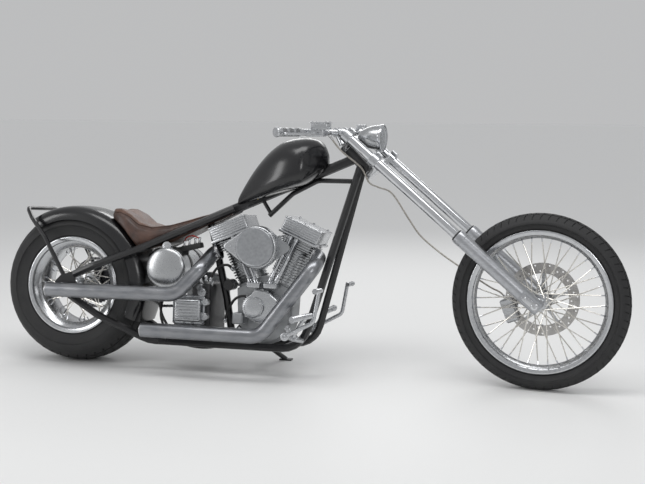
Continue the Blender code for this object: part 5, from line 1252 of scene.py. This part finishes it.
# %% Bridges with their clamp rings, pinch bolts and the stem's nut
tree_outline = ((-.16, -.35), (-.33, -.10), (-.50, .15), (-.86, .62), (-.90, .90), (-.86, 1.25),
                (-.66, 1.20), (-.45, 1.05), (-.22, .92))
neck_forward = Vector((1, 0, 1)).normalized()
for name, middle, lead, reach in (("lower", lower_middle, .06745, .84305),
                                  ("upper", upper_middle, .05468, .98909)):
    outline = [(u * leg_spacing, v * lead) for u, v in tree_outline]
    outline += [(-u, v) for u, v in reversed(outline)]
    bridge = plate(outline, .0235, middle, left, neck_forward, .0035, 3)
    parts = [bridge, turned([(.0300, -.0128), (.0318, -.0110), (.0318, .0110), (.0300, .0128)],
                            middle, steer_axis, 48)]
    ring = [(.0209, -.0168), (.0262, -.0168), (.0275, -.0155), (.0275, .0155), (.0262, .0168),
            (.0209, .0168)]
    for side in (-1, 1):
        y = side * leg_spacing
        cut_away(bridge, turned([(.0215, -.05), (.0215, .05)], on_fork(reach, y), fork_up, 32))
        parts.append(spun(ring, on_fork(reach, y), fork_up, 64))
        ear = on_fork(reach, y - side * .006, .0300)
        parts.append(block((.012, .020, .0300), ear, leg_turn, .0025, 3))
        parts.append(set_out(screw_head, .0042, [
            (ear + left * side * .0098 + fork_up * rise, left * side) for rise in (-.008, .008)]))
    settled(joined(parts), f"{name}_bridge", "polished_alloy", "fork")
    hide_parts(f"{name}_tree")
stem_parts = [turned([(.0122, 0), (.0122, .1240)], lower_middle + steer_axis * .008,
                     steer_axis, 32)]
top = upper_middle + steer_axis * .0128
stem_parts.append(set_out(hex_nut, .0150, [(top, steer_axis)]))
settled(joined(stem_parts), "steering_stem", "brushed_steel", "fork")

# %% [markdown]
# ## Headlight
# The lamp is a spun bell: a tapered shell, a trim ring, a bright dish with a bulb in it and a
# glass whose back is pressed in upright flutes. The shell and the dish keep the flat ends
# that turned gives them, which close the mouth in front of the bulb, so what shows behind
# the glass is a bright flat face.

# %% Headlight
lamp_face = Vector((1.32462, 0, .9775))
lamp_way = Vector((.99939, 0, -.0349))
shell = turned([(.0525, -.0120), (.0529, -.0120), (.0520, -.0200), (.0508, -.0320), (.0488, -.0450),
                (.0456, -.0580), (.0410, -.0710), (.0352, -.0825), (.0282, -.0930),
                (.0215, -.1000), (.0150, -.1045), (.0080, -.1070)], lamp_face, lamp_way, 72)
stud = turned([(.0130, -.1020), (.0130, -.1072), (.0080, -.1078)], lamp_face, lamp_way, 32)
post_low = lower_middle + neck_forward * .0417 + steer_axis * .0122
post_top = lamp_face - lamp_way * .0216 - upward * .0490
way = (post_top - post_low).normalized()
post = turned([(.0135, 0), (.0135, .004), (.0098, .008), (.0098, (post_top - post_low).length)],
              post_low, way, 32)
settled(joined([shell, stud, post]), "lamp_shell", "spun_alloy", "fork", sharp=25)
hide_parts("headlight")
trim = spun([(.0512, -.0140), (.0548, -.0135), (.0559, -.0105), (.0559, -.0030), (.0550, -.0008),
             (.0532, -.0002), (.0512, -.0010), (.0510, -.0060)], lamp_face, lamp_way, 96)
settled(trim, "lamp_ring", "chrome", "fork")
dish = turned([(.0504, -.0050), (.0504, -.0066), (.0490, -.0110), (.0452, -.0200), (.0385, -.0300),
               (.0290, -.0385), (.0170, -.0435), (.0100, -.0440), (.0100, -.0430),
               (.0170, -.0420), (.0285, -.0372), (.0378, -.0290), (.0444, -.0194),
               (.0482, -.0106), (.0494, -.0066), (.0496, -.0050)], lamp_face, lamp_way, 72)
settled(dish, "lamp_dish", "chrome", "fork")
bulb = turned([(.0040, -.0430), (.0052, -.0400), (.0052, -.0270), (.0040, -.0235),
               (.0020, -.0225)], lamp_face, lamp_way, 24)
settled(bulb, "lamp_bulb", "ceramic", "fork")
glass_pieces = turned([(.0500, -.0048), (.0507, -.0040), (.0507, -.0016), (.0490, -.0006),
                       (.0440, .0008), (.0340, .0018), (.0200, .0024), (.0060, .0026)],
                      lamp_face - lamp_way * .0006, lamp_way, 72)


def lamp_glass():
    """Clear pressed glass with upright flutes."""
    made = bpy.data.materials.new("fluted_glass")
    made.use_nodes = True
    tree = made.node_tree
    shader = tree.nodes["Principled BSDF"]
    shader.inputs["Transmission Weight"].default_value = .92
    shader.inputs["IOR"].default_value = 1.45
    shader.inputs["Roughness"].default_value = .03
    places = node_in(tree, "TexCoord")
    tint = node_in(tree, "TexNoise", Scale=30)
    ramp = tree.nodes.new("ShaderNodeValToRGB")
    ramp.color_ramp.elements[0].color = (.86, .90, .92, 1)
    ramp.color_ramp.elements[1].color = (.95, .97, .98, 1)
    flutes = tree.nodes.new("ShaderNodeTexWave")
    flutes.bands_direction = "Y"
    flutes.inputs["Scale"].default_value = 60
    relief = node_in(tree, "Bump", Strength=.7, Distance=.002)
    tree.links.new(places.outputs["Object"], tint.inputs["Vector"])
    tree.links.new(tint.outputs["Fac"], ramp.inputs["Fac"])
    tree.links.new(ramp.outputs["Color"], shader.inputs["Base Color"])
    tree.links.new(places.outputs["Object"], flutes.inputs["Vector"])
    tree.links.new(flutes.outputs["Color"], relief.inputs["Height"])
    tree.links.new(relief.outputs["Normal"], shader.inputs["Normal"])
    return made


looks["lamp_glass"] = lamp_glass()
settled(glass_pieces, "lamp_glass", "lamp_glass", "fork")
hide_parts("headlight_lens")

# %% [markdown]
# ## Handlebar and its controls
# The bar is one bent tube on two risers. Each side carries a clamp with a lever, the right one
# a square reservoir with a screwed lid as well. The grips are turned, with rubber rings let
# into bright metal.

# %% Bar, risers, grips
bar_half = [at(.5809, .8571, 1.1213), at(.5565, 1.7829, 1.1236)]
grip_way = Vector((-.50588, .8626, 0))
bar_half.append(bar_half[-1] + grip_way * .016)
bar_line = rounded([on_side(p, -1) for p in reversed(bar_half)] + bar_half, .060, 10)
bar_parts = [tube(bar_line, .0127, 32)]
riser_foot = upper_middle + steer_axis * .0125
for side in (-1, 1):
    foot = riser_foot + left * side * .048
    top = at(.5799, 0, 1.1213) + left * side * .048
    way = (top - foot).normalized()
    long = (top - foot).length
    bar_parts.append(turned([(.0135, 0), (.0135, .003), (.0115, .006), (.0115, long - .004)],
                            foot, way, 32))
    clamp = spun([(.0129, -.0110), (.0170, -.0110), (.0182, -.0098), (.0182, .0098),
                  (.0170, .0110), (.0129, .0110)], top, left, 48)
    bar_parts.append(clamp)
    bar_parts.append(set_out(screw_head, .0036, [
        (top + upward * .0165 + Vector((x, 0, 0)), upward) for x in (-.009, .009)]))
settled(joined(bar_parts), "bar", "polished_alloy", "fork")
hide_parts("handlebar")
grip_long = .11847
for side, name in ((-1, "right"), (1, "left")):
    inner = on_side(bar_half[-1], side)
    way = on_side(grip_way, side)
    profile = [(.0138, .0003), (.0160, .0015), (.0164, .0040)]
    for start in (.0110, .0420, .0730):
        for k in range(6):
            along = start + k * .0034
            profile += [(.0164, along), (.0152, along + .0005), (.0152, along + .0014),
                        (.0164, along + .0019)]
    profile += [(.0164, grip_long - .0105), (.0180, grip_long - .0098), (.0193, grip_long - .0080),
                (.0193, grip_long - .0030), (.0180, grip_long - .0008), (.0110, grip_long - .0002),
                (.0060, grip_long - .0010)]
    settled(turned(profile, inner, way, 40), f"{name}_turned_grip", "polished_alloy", "fork")
    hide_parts(f"{name}_grip")
    rubber = []
    for start in (.0110, .0420, .0730):
        for k in range(6):
            ring_at = inner + way * (start + k * .0034 + .00095)
            rubber.append(spun([(.0153, -.0005), (.0163, -.0005), (.0165, 0), (.0163, .0005),
                                (.0153, .0005)], ring_at, way, 32))
    settled(joined(rubber), f"{name}_grip_rings", "black_rubber", "fork")

# %% Clamps, levers and the reservoir
def between(low, high, edge=.0025, segments=2):
    """A rounded block between two corners given in shares."""
    low, high = at(*low), at(*high)
    return block([abs(b - a) for a, b in zip(low, high)], (low + high) / 2, None, edge, segments)


def lever(side):
    """A blade that tapers to a ball."""
    shares = ((.5824, 1.5543, 1.1191), (.5849, 1.7429, 1.118), (.5626, 2.1143, 1.1169),
              (.5422, 2.4300, 1.1169))
    line = rounded([on_side(at(*share), side) for share in shares], .030, 8)
    blade = tube(line, .0052, 16)
    ball = turned([(.0030, -.0068), (.0056, -.0050), (.0072, -.0012), (.0072, .0015),
                   (.0056, .0050), (.0030, .0070)], line[-1], line[-1] - line[-2], 24)
    pivot = turned([(.0062, -.0095), (.0062, .0095), (.0050, .0105)], line[0], upward, 24)
    return [blade, ball, pivot]


right_parts = [between((.5565, -1.6686, 1.1056), (.5941, -1.44, 1.1371), .004, 3),
               between((.5687, -1.7143, 1.1348), (.6033, -1.4057, 1.1625), .003, 3),
               between((.5679, -1.7203, 1.1628), (.6041, -1.3997, 1.1680), .0015, 2)]
lid = [(at(x, y, 1.1680), upward) for x in (.5716, .6004) for y in (-1.69, -1.43)]
right_parts.append(set_out(screw_head, .0030, lid))
right_parts.append(turned([(.0085, 0), (.0085, .012), (.0060, .016), (.0060, .022)],
                          at(.5960, -1.47, 1.1200), left, 24))
right_parts.append(set_out(screw_head, .0034, [(at(.5563, -1.55, z), Vector((-1, 0, 0)))
                                               for z in (1.1130, 1.1300)]))
right_parts += lever(-1)
settled(joined(right_parts), "brake_master", "polished_alloy", "fork")
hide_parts("right_bar_controls")
left_parts = [between((.5565, 1.4971, 1.1056), (.5849, 1.6571, 1.1393), .004, 3),
              between((.5697, 1.4743, 1.1348), (.591, 1.6686, 1.1600), .003, 3)]
left_parts.append(set_out(screw_head, .0034, [(at(.5563, 1.577, z), Vector((-1, 0, 0)))
                                              for z in (1.1140, 1.1310)]))
left_parts += lever(1)
settled(joined(left_parts), "clutch_perch", "polished_alloy", "fork")
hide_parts("left_bar_controls")
print("bar parts:", len(bar_parts) + len(right_parts) + len(left_parts))

# %% [markdown]
# ## Front brake
# The line from the master cylinder hangs in one free curve behind the left leg, in a braided
# steel sheath with a crimped end at each fitting.

# %% Brake line
line_shares = ((0.6017, -1.5314, 1.1146), (0.618, -1.2286, 1.0449), (0.6419, -0.6, 0.9685),
               (0.6526, -0.3429, 0.8989), (0.6592, 0.1143, 0.8742), (0.679, 0.5486, 0.8404),
               (0.7167, 0.5714, 0.7202), (0.7416, 0.5714, 0.6483), (0.7823, 0.5714, 0.5764),
               (0.8266, 0.56, 0.5135), (0.8876, 0.5371, 0.4326), (0.9105, 0.5371, 0.4090),
               (0.9288, 0.4800, 0.3787))
line_places = smooth_line([at(*share) for share in line_shares], 8)


def braid():
    """Fine crossed wires on a hose, from a fine cell pattern in its bump."""
    made = surface("braided_sheath", (.30, .28, .25), (.52, .49, .45), (.32, .44), .85, scale=160)
    tree = made.node_tree
    shader = tree.nodes["Principled BSDF"]
    places = tree.nodes["Texture Coordinate"]
    crossed = node_in(tree, "TexVoronoi", Scale=900)
    relief = node_in(tree, "Bump", Strength=.5, Distance=.0005)
    tree.links.new(places.outputs["Object"], crossed.inputs["Vector"])
    tree.links.new(crossed.outputs["Distance"], relief.inputs["Height"])
    tree.links.new(relief.outputs["Normal"], shader.inputs["Normal"])
    return made


looks["braided_line"] = braid()
hose = settled(tube(line_places, .0034, 16), "brake_hose", "braided_line", "fork", sharp=80)
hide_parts("brake_line")
hose_ends = []
for end, inside in ((line_places[0], line_places[1]), (line_places[-1], line_places[-2])):
    away = (inside - end).normalized()
    hose_ends.append(turned([(.0050, .0002), (.0050, .0060), (.0060, .0070), (.0060, .0120),
                             (.0046, .0135), (.0046, .0260), (.0040, .0268)], end, away, 24))
settled(joined(hose_ends), "hose_fittings", "brushed_steel", "fork")

# %% [markdown]
# ## Oil drum
# The oil is carried in a round drum that lies across the frame behind the engine. It is a
# rolled sheet with a pressed dome welded in each end, so it is turned in one go, with a low
# weld bead at each seam. A knurled cap closes its filler, and two straps hold it.

# %% Drum, filler, straps
drum = Vector((.448, -.0135, .420))
drum_radius, drum_half, drum_dome = .084, .1315, .020
dome = []
for i in range(14):
    turn = math.radians(4 + 86 * i / 13)
    dome.append((drum_radius * math.sin(turn), drum_half + drum_dome * math.cos(turn)))
bead = [(drum_radius, drum_half - .004), (drum_radius + .0012, drum_half - .0052),
        (drum_radius + .0012, drum_half - .0068), (drum_radius, drum_half - .008)]
side_line = dome + bead
profile = [(r, -y) for r, y in side_line] + [(r, y) for r, y in reversed(side_line)]
barrel = turned(profile, drum, left, 96)
settled(barrel, "oil_drum_shell", "spun_alloy", "frame", sharp=30)
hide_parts("oil_drum")
neck_foot = drum + Vector((0, -.098, drum_radius - .004))
cap_place = neck_foot + Vector((0, -.018, .0090))
filler = [turned([(.0150, 0), (.0150, .009), (.0135, .011), (.0135, .014)], neck_foot, upward, 32)]
knurl = [(.0150, .0142), (.0185, .0150), (.0195, .0165), (.0195, .0245), (.0180, .0262),
         (.0110, .0270), (.0100, .0262), (.0040, .0262)]
filler.append(turned([(r, x - .0142) for r, x in knurl], cap_place, Vector((0, -1, .25)), 24))
filler.append(block((.020, .024, .018), neck_foot + Vector((0, -.006, .0090)), None, .004, 3))
settled(joined(filler), "drum_filler", "polished_alloy", "frame", sharp=25)
straps = []
for y in (-.060, .062):
    straps.append(spun([(drum_radius + .0003, -.009), (drum_radius + .0022, -.009),
                        (drum_radius + .0022, .009), (drum_radius + .0003, .009)],
                       drum + left * (y + .0135), left, 96))
settled(joined(straps), "drum_straps", "satin_black", "frame")
taps = []
for y in (-.070, -.020, .040):
    foot = drum + Vector((-.030, y + .0135, -math.sqrt(drum_radius ** 2 - .030 ** 2) + .001))
    taps.append(turned([(.0085, 0), (.0085, .006), (.0062, .007), (.0062, .016), (.0050, .017)],
                       foot, -upward, 6))
settled(joined(taps), "drum_unions", "brass", "frame")

# %% [markdown]
# ## Switch block and wiring
# Above the drum sits a small black block with bright terminal posts and a red lead. It is the
# only spot of colour on the machine.

# %% Switch block
panel_middle = Vector((.530, -.062, .508))
blocks = [block((.092, .040, .022), panel_middle, Matrix.Rotation(math.radians(-14), 3, "Y"), .003)]
blocks.append(block((.030, .010, .050), Vector((.500, -.062, .488)), None, .002))
settled(joined(blocks), "switch_block", "black_rubber", "frame")
posts = []
for x, z in ((.500, .511), (.522, .517), (.548, .523), (.566, .527)):
    posts.append(turned([(.0065, 0), (.0065, .004), (.0050, .005), (.0050, .016), (.0062, .017),
                         (.0062, .022), (.0040, .024)], Vector((x, -.070, z)), upward, 6))
settled(joined(posts), "terminals", "chrome", "frame")
lead = smooth_line([Vector(p) for p in ((.500, -.070, .535), (.512, -.078, .548),
                                        (.535, -.082, .556), (.552, -.074, .552),
                                        (.566, -.070, .545))], 8)
settled(tube(lead, .0030, 12), "red_lead", "red_anodised", "frame", sharp=80)

# %% [markdown]
# ## Gearbox
# The gearbox is a casting with a ribbed end cover, held by socket screws round its flange.
# The cover starts as a rounded block. Its ribs are one bar, copied up the face.

# %% Gearbox case and covers
case_parts = [between((.2543, -.64, .1453), (.3357, .64, .1543), .001),
              between((.2787, -.5714, .1506), (.3204, .56, .4045), .012, 4),
              between((.2391, -.56, .1528), (.3052, .5486, .3371), .012, 4)]
flange = [between((.2391, -.5890, .2120), (.3112, -.5514, .3500), .010, 4)]
cover_low, cover_high = at(.2462, -.8, .2281), at(.3072, -.5143, .3337)
cover_middle = (cover_low + cover_high) / 2
cover_size = [abs(b - a) for a, b in zip(cover_low, cover_high)]
flange.append(block(cover_size, cover_middle, None, .014, 5))
rib = block((cover_size[0] - .024, .0100, .0056), (0, 0, 0), None, .0020, 2)
pitch = (cover_size[2] - .026) / 6
flange += copies(rib, [Matrix.Translation(Vector((cover_middle.x, cover_low.y + .0004,
                                                  cover_low.z + .013 + pitch * i)))
                       for i in range(7)])
boss_row = [(.600, .325, .0185), (.617, .285, .0150), (.612, .225, .0165), (.590, .345, .0130)]
for x, z, radius in boss_row:
    flange.append(turned([(radius, -.004), (radius, .016), (radius * .86, .0185),
                          (radius * .40, .0185), (radius * .34, .0150)],
                         Vector((x, -.104, z)), -left, 32))
shaft_nut = turned([(.018, 0), (.018, .012), (.010, .013), (.010, .040)],
                   gearbox_shaft + left * .096, left, 32)
settled(joined(case_parts + [shaft_nut]), "gearbox_case", "dark_casting", "frame", sharp=30)
settled(joined(flange), "gearbox_cover", "polished_alloy", "frame", sharp=30)
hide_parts("transmission")
corners = [(.4765, .199), (.4765, .303), (.5200, .307), (.5560, .307), (.5200, .193),
           (.5560, .193), (.6040, .199)]
settled(set_out(screw_head, .0048, [(Vector((x, -.1028, z)), -left) for x, z in corners]),
        "gearbox_screws", "chrome", "frame")
unions = []
for x, z, way in ((.575, .372, (-.2, -.3, 1)), (.600, .366, (.1, -.3, 1)),
                  (.622, .350, (.5, -.3, 1))):
    unions.append(turned([(.0080, -.026), (.0080, .006), (.0060, .007), (.0060, .017),
                          (.0074, .018), (.0074, .025), (.0050, .027)], Vector((x, -.072, z)),
                         Vector(way), 6))
settled(joined(unions), "gearbox_unions", "polished_alloy", "frame")
print("gearbox:", 7, "ribs,", len(corners), "screws")

# %% [markdown]
# ## Oil hoses
# Rubber hoses run from the drum's unions under the gearbox to the pump. Each is a smooth
# curve with a crimped ferrule at its ends, held against the frame, so none of them hangs free.

# %% Hoses
hose_routes = (
    ((.418, -.070, .335), (.402, -.076, .290), (.410, -.082, .225), (.455, -.088, .160),
     (.520, -.104, .120), (.620, -.108, .112), (.700, -.098, .130), (.757, -.104, .185),
     (.778, -.112, .212)),
    ((.418, -.020, .335), (.396, -.040, .280), (.400, -.060, .200), (.452, -.070, .130),
     (.540, -.086, .098), (.650, -.090, .100), (.736, -.100, .150), (.768, -.108, .190)),
    ((.690, -.078, .205), (.706, -.092, .250), (.738, -.104, .300), (.775, -.112, .318),
     (.806, -.104, .312)),
    ((.622, -.076, .372), (.632, -.080, .400), (.655, -.076, .430), (.690, -.066, .440),
     (.712, -.050, .420)),
)
hose_parts, ferrules = [], []
for route in hose_routes:
    line = smooth_line([Vector(p) for p in route], 7)
    hose_parts.append(tube(line, .0055, 14))
    for end, inside in ((line[0], line[1]), (line[-1], line[-2])):
        ferrules.append(turned([(.0060, -.002), (.0074, -.001), (.0074, .010), (.0066, .0112),
                                (.0066, .0150), (.0060, .016)], end, inside - end, 20))
settled(joined(hose_parts), "oil_hoses", "black_rubber", "frame", sharp=80)
settled(joined(ferrules), "hose_ferrules", "polished_alloy", "frame")

# %% [markdown]
# ## Final drive
# A roller chain is two kinds of link: outer plates on pins, and inner plates on rollers. One
# of each is modelled in a few dozen faces and copied along the loop, turned to follow it.

# %% Chain
def loop_points(first, first_radius, second, second_radius, steps):
    """(along, up) points of a loop round two circles, the first one behind."""
    way = second - first
    base = math.degrees(math.atan2(way.z, way.x))
    lap = math.degrees(math.acos((first_radius - second_radius) / way.length))
    found = arc((first.x, first.z), first_radius, base + lap, base + 360 - lap, steps)
    return found + arc((second.x, second.z), second_radius, base - lap, base + lap, steps)


def evenly(points, count):
    """So many places spaced evenly round a closed outline, each with its direction."""
    closed = list(points) + [points[0]]
    spans = [math.dist(a, b) for a, b in zip(closed, closed[1:])]
    found = []
    for i in range(count):
        away, k = sum(spans) * i / count, 0
        while away > spans[k]:
            away -= spans[k]
            k += 1
        share = away / spans[k]
        (ax, az), (bx, bz) = closed[k], closed[k + 1]
        found.append(Vector((ax + (bx - ax) * share, 0, az + (bz - az) * share)))
    return found


chain_y, chain_pitch = .140, .0159
chain_line = loop_points(rear_axle, .107, gearbox_shaft, .052, 60)
closed = chain_line + [chain_line[0]]
round_trip = sum(math.dist(a, b) for a, b in zip(closed, closed[1:]))
link_count = 2 * round(round_trip / chain_pitch / 2)
stops = evenly(chain_line, link_count)
half_link = chain_pitch / 2
eye = [(half_link * .98 + .0062 * math.cos(math.radians(a)), .0062 * math.sin(math.radians(a)))
       for a in range(-75, 76, 30)]
link_outline = eye + [(0, .0047)] + [(-u, v) for u, v in reversed(eye)] + [(0, -.0047)]


def link(y, pin_half, pin_radius):
    """A pair of link plates, with a pin or roller at the first end."""
    plates = [plate(link_outline, .0017, (0, side * y, 0), (1, 0, 0), (0, 0, 1), 0)
              for side in (-1, 1)]
    pin = turned([(pin_radius, -pin_half), (pin_radius, pin_half)], (-half_link, 0, 0), left, 12)
    return joined(plates + [pin])


kinds = {0: (link(.0081, .0106, .0026), []), 1: (link(.0062, .0060, .0050), [])}
for i, here in enumerate(stops):
    after = stops[(i + 1) % link_count]
    along = (after - here).normalized()
    turn = turned_along(along, left)
    kinds[i % 2][1].append(Matrix.Translation((here + after) / 2 + left * chain_y) @ turn)
outer_links = joined(copies(*kinds[0]))
inner_links = joined(copies(*kinds[1]))
settled(outer_links, "chain_outer_links", "link_steel", "frame")
settled(inner_links, "chain_rollers", "dark_steel", "frame")
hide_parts("final_chain")
print("chain:", link_count, "links")

# %% Sprocket bolts
bolt_ring = ring_of(5, rear_axle + left * (chain_y + .0036), left, .052)
settled(set_out(hex_nut, .0060, bolt_ring), "sprocket_bolts", "chrome", "rear_wheel")

# %% [markdown]
# ## Primary drive
# On the left a toothed belt, open to view, runs back from the crank to the clutch. The belt's
# back is plain and its teeth sit in the pulleys. The clutch carries six springs under caps.

# %% Belt and pulleys
belt_y, belt_width, belt_thick = .178, .034, .006
outer = loop_points(gearbox_shaft, .094, crank, .058, 48)
inner = loop_points(gearbox_shaft, .094 - belt_thick, crank, .058 - belt_thick, 48)
belt = plate(outer, belt_width, left * belt_y, (1, 0, 0), (0, 0, 1), 0)
cut_away(belt, plate(inner, belt_width * 2, left * belt_y, (1, 0, 0), (0, 0, 1), 0))
settled(belt, "toothed_belt", "black_rubber", "frame")
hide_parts("primary_drive")
tooth_count = 96
tooth = block((.0060, belt_width - .004, .0024), (0, 0, 0), None, .0007, 1)
tooth_places = evenly(inner, tooth_count)
matrices = []
for i, here in enumerate(tooth_places):
    along = (tooth_places[(i + 1) % tooth_count] - here).normalized()
    turn = turned_along(along, left)
    matrices.append(Matrix.Translation(here + left * belt_y) @ turn)
settled(joined(copies(tooth, matrices)), "belt_teeth", "black_rubber", "frame")
half_belt = belt_width / 2
clutch = [turned([(.080, -half_belt - .004), (.0925, -half_belt - .004), (.0925, -half_belt),
                  (.0868, -half_belt), (.0868, half_belt), (.0925, half_belt),
                  (.0925, half_belt + .005), (.0740, half_belt + .005),
                  (.0725, half_belt + .0130), (.0560, half_belt + .0200),
                  (.0540, half_belt + .0200), (.0400, half_belt + .0200),
                  (.0380, half_belt + .0140)],
                 gearbox_shaft + left * belt_y, left, 96)]
clutch_nut = gearbox_shaft + left * (belt_y + half_belt + .0140)
clutch.append(set_out(hex_nut, .0140, [(clutch_nut, left)]))
for place, way in ring_of(6, gearbox_shaft + left * (belt_y + half_belt + .0150), left, .063):
    clutch.append(turned([(.0085, -.004), (.0085, .0060), (.0070, .0075), (.0030, .0075)], place,
                         left, 24))
settled(joined(clutch), "clutch", "spun_alloy", "frame", sharp=30)
pulley = [turned([(.046, -half_belt - .004), (.0570, -half_belt - .004), (.0570, -half_belt),
                  (.0510, -half_belt), (.0510, half_belt), (.0570, half_belt),
                  (.0570, half_belt + .005), (.0450, half_belt + .005), (.0430, half_belt + .002),
                  (.0230, half_belt + .002), (.0210, half_belt + .012)],
                 crank + left * belt_y, left, 72)]
pulley.append(set_out(hex_nut, .0150, [(crank + left * (belt_y + half_belt + .012), left)]))
pulley.append(set_out(screw_head, .0042, ring_of(
    6, crank + left * (belt_y + half_belt + .002), left, .034)))
settled(joined(pulley), "front_pulley", "spun_alloy", "frame", sharp=30)
shafts = [turned([(.017, 0), (.017, .052)], gearbox_shaft + left * .110, left, 24),
          turned([(.022, 0), (.022, .085)], crank + left * .080, left, 24)]
settled(joined(shafts), "drive_shafts", "brushed_steel", "frame")

# %% [markdown]
# ## Forward controls
# A bar from each lower rail carries a round peg and a pedal. The pegs are knurled steel, so
# each is turned with a run of fine grooves, with a smooth collar at both ends.

# %% Pegs and pedals
def knurled(start, end, radius, groove=.0010, pitch=.0040):
    """A turned peg with grooves between two plain collars and a rounded end."""
    long = (end - start).length
    profile = [(radius * .86, 0), (radius, .002), (radius, .012)]
    run = .014
    while run < long - .016:
        profile += [(radius, run), (radius - groove, run + pitch * .25),
                    (radius - groove, run + pitch * .55), (radius, run + pitch * .80)]
        run += pitch
    profile += [(radius, long - .012), (radius * 1.12, long - .011), (radius * 1.12, long - .003),
                (radius * .90, long)]
    return turned(profile, start, end - start, 28)


for side, name in ((-1, "right"), (1, "left")):
    arm = rounded([on_side(at(*s), side) for s in ((.527, .6571, .1685), (.5097, .9143, .1798),
                                                   (.5092, 1.4057, .2045))], .030, 8)
    pedal = rounded([on_side(at(*s), side) for s in ((.5086, 1.3486, .1978),
                                                     (.5656, 1.3486, .2674),
                                                     (.5763, 1.3486, .418))], .030, 8)
    parts = [tube(arm, .0108, 24), tube(pedal, .0083, 20)]
    for shares, radius in ((((.5778, 1.2686, .409), (.5778, 1.8171, .409)), .0095),
                           (((.5422, .5486, .2831), (.5351, 1.9143, .2831)), .0122)):
        start, end = [on_side(at(*s), side) for s in shares]
        parts.append(knurled(start, end, radius))
    start, end = [on_side(at(*s), side) for s in ((.5107, .9029, .1798), (.5381, .9029, .2831))]
    parts.append(tube([start, end], .0083, 20))
    start, end = [on_side(at(*s), side) for s in ((.5188, .8571, .1753), (.4964, .8571, .2303))]
    parts.append(turned([(.0110, 0), (.0138, .003), (.0138, (end - start).length - .012),
                         (.0120, (end - start).length - .010), (.0120, (end - start).length)],
                        start, end - start, 28))
    pivot = pedal[0]
    parts.append(turned([(.0165, -.0130), (.0165, .0130), (.0140, .0145)], pivot, left * side, 32))
    parts.append(set_out(screw_head, .0062, [(pivot + left * side * .0140, left * side)]))
    settled(joined(parts), f"{name}_forward_controls", "polished_alloy", "frame")
    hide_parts(f"{name}_controls")
print("controls done")

# %% [markdown]
# ## Front disc
# The brake disc is a drilled ring that hangs on five pins from a thin spider, so that it can
# grow as it warms. The ring is spun and its holes are cut; one arm is a plate, copied round.

# %% Disc and spider
disc_middle = front_axle + left * .068
disc = spun([(.1045, -.0025), (.1455, -.0025), (.1460, -.0020), (.1460, .0020), (.1455, .0025),
             (.1045, .0025), (.1040, .0020), (.1040, -.0020)], disc_middle, left, 120)
drills = []
for count, radius, start in ((15, .1130, 0.0), (15, .1250, .14), (15, .1370, .28)):
    for place, way in ring_of(count, disc_middle, left, radius, start):
        drills.append(turned([(.0036, -.01), (.0036, .01)], place, left, 14))
cut_away(disc, joined(drills))
settled(disc, "drilled_disc", "disc_steel", "front_wheel")
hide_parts("front_disc")
spider = [spun([(.0230, -.0022), (.0420, -.0022), (.0420, .0022), (.0230, .0022)], disc_middle,
               left, 64)]
arm_outline = ((.038, -.0115), (.070, -.0062), (.100, -.0070), (.108, -.0100), (.1125, 0),
               (.108, .0100), (.100, .0070), (.070, .0062), (.038, .0115))
for k in range(5):
    angle = math.tau * k / 5 + .3
    out = Vector((math.cos(angle), 0, math.sin(angle)))
    spider.append(plate(arm_outline, .0040, disc_middle - left * .0004, out, left.cross(out),
                        .0008, 1))
settled(joined(spider), "disc_spider", "polished_alloy", "front_wheel")
pins = ring_of(5, disc_middle + left * .0022, left, .1055, .3)
settled(set_out(screw_head, .0052, pins), "disc_pins", "chrome", "front_wheel")
hub_bolts = ring_of(5, disc_middle + left * .0020, left, .0330, .93)
settled(set_out(hex_nut, .0052, hub_bolts), "disc_bolts", "chrome", "front_wheel")

# %% The rear axle's nuts
axle_nuts = [(rear_axle + left * side * .1760, left * side) for side in (-1, 1)]
settled(set_out(hex_nut, .0150, axle_nuts), "rear_axle_nuts", "chrome", "frame")

# %% [markdown]
# ## Side stand
# The stand's return spring runs from a post on the leg to one on the frame. A coil spring is a
# helix, and its points come from a formula.

# %% Spring
hinge = Vector((.77991, .15201, .10698))
foot = Vector((.87507, .20793, .0255))
leg_way = (foot - hinge).normalized()
spring_start = hinge + leg_way * .058 + upward * .012
spring_end = hinge + leg_way * .016 + upward * .016
along = (spring_end - spring_start).normalized()
across = along.orthogonal().normalized()
other = along.cross(across)
coils, steps = 7, 12
spring_line = []
for i in range(coils * steps + 1):
    share = i / (coils * steps)
    turn = math.tau * coils * share
    spring_line.append(spring_start + (spring_end - spring_start) * share
                       + (across * math.cos(turn) + other * math.sin(turn)) * .0052)
spring = [tube(spring_line, .0011, 8)]
for place in (spring_start, spring_end):
    spring.append(tube([place - upward * .014, place + upward * .002], .0024, 12))
settled(joined(spring), "stand_spring", "brushed_steel", "side_stand", sharp=80)
stand_bolt = set_out(hex_nut, .0085, [(hinge + leg_way.cross(left).normalized() * .016,
                                       leg_way.cross(left))])
settled(stand_bolt, "stand_bolt", "chrome", "side_stand")
print("small fittings done")

# %% [markdown]
# ## Size
# The box of the dressed machine is set against the box of its solids, and their differences are
# printed. The dressed machine has to stay inside the box of its solids.

# %% Compare the boxes and finish
dressed_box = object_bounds()
for low, high, new_low, new_high in zip(cad_box[0], cad_box[1], dressed_box[0], dressed_box[1]):
    print(f"low {new_low - low:+.4f}, high {new_high - high:+.4f}")
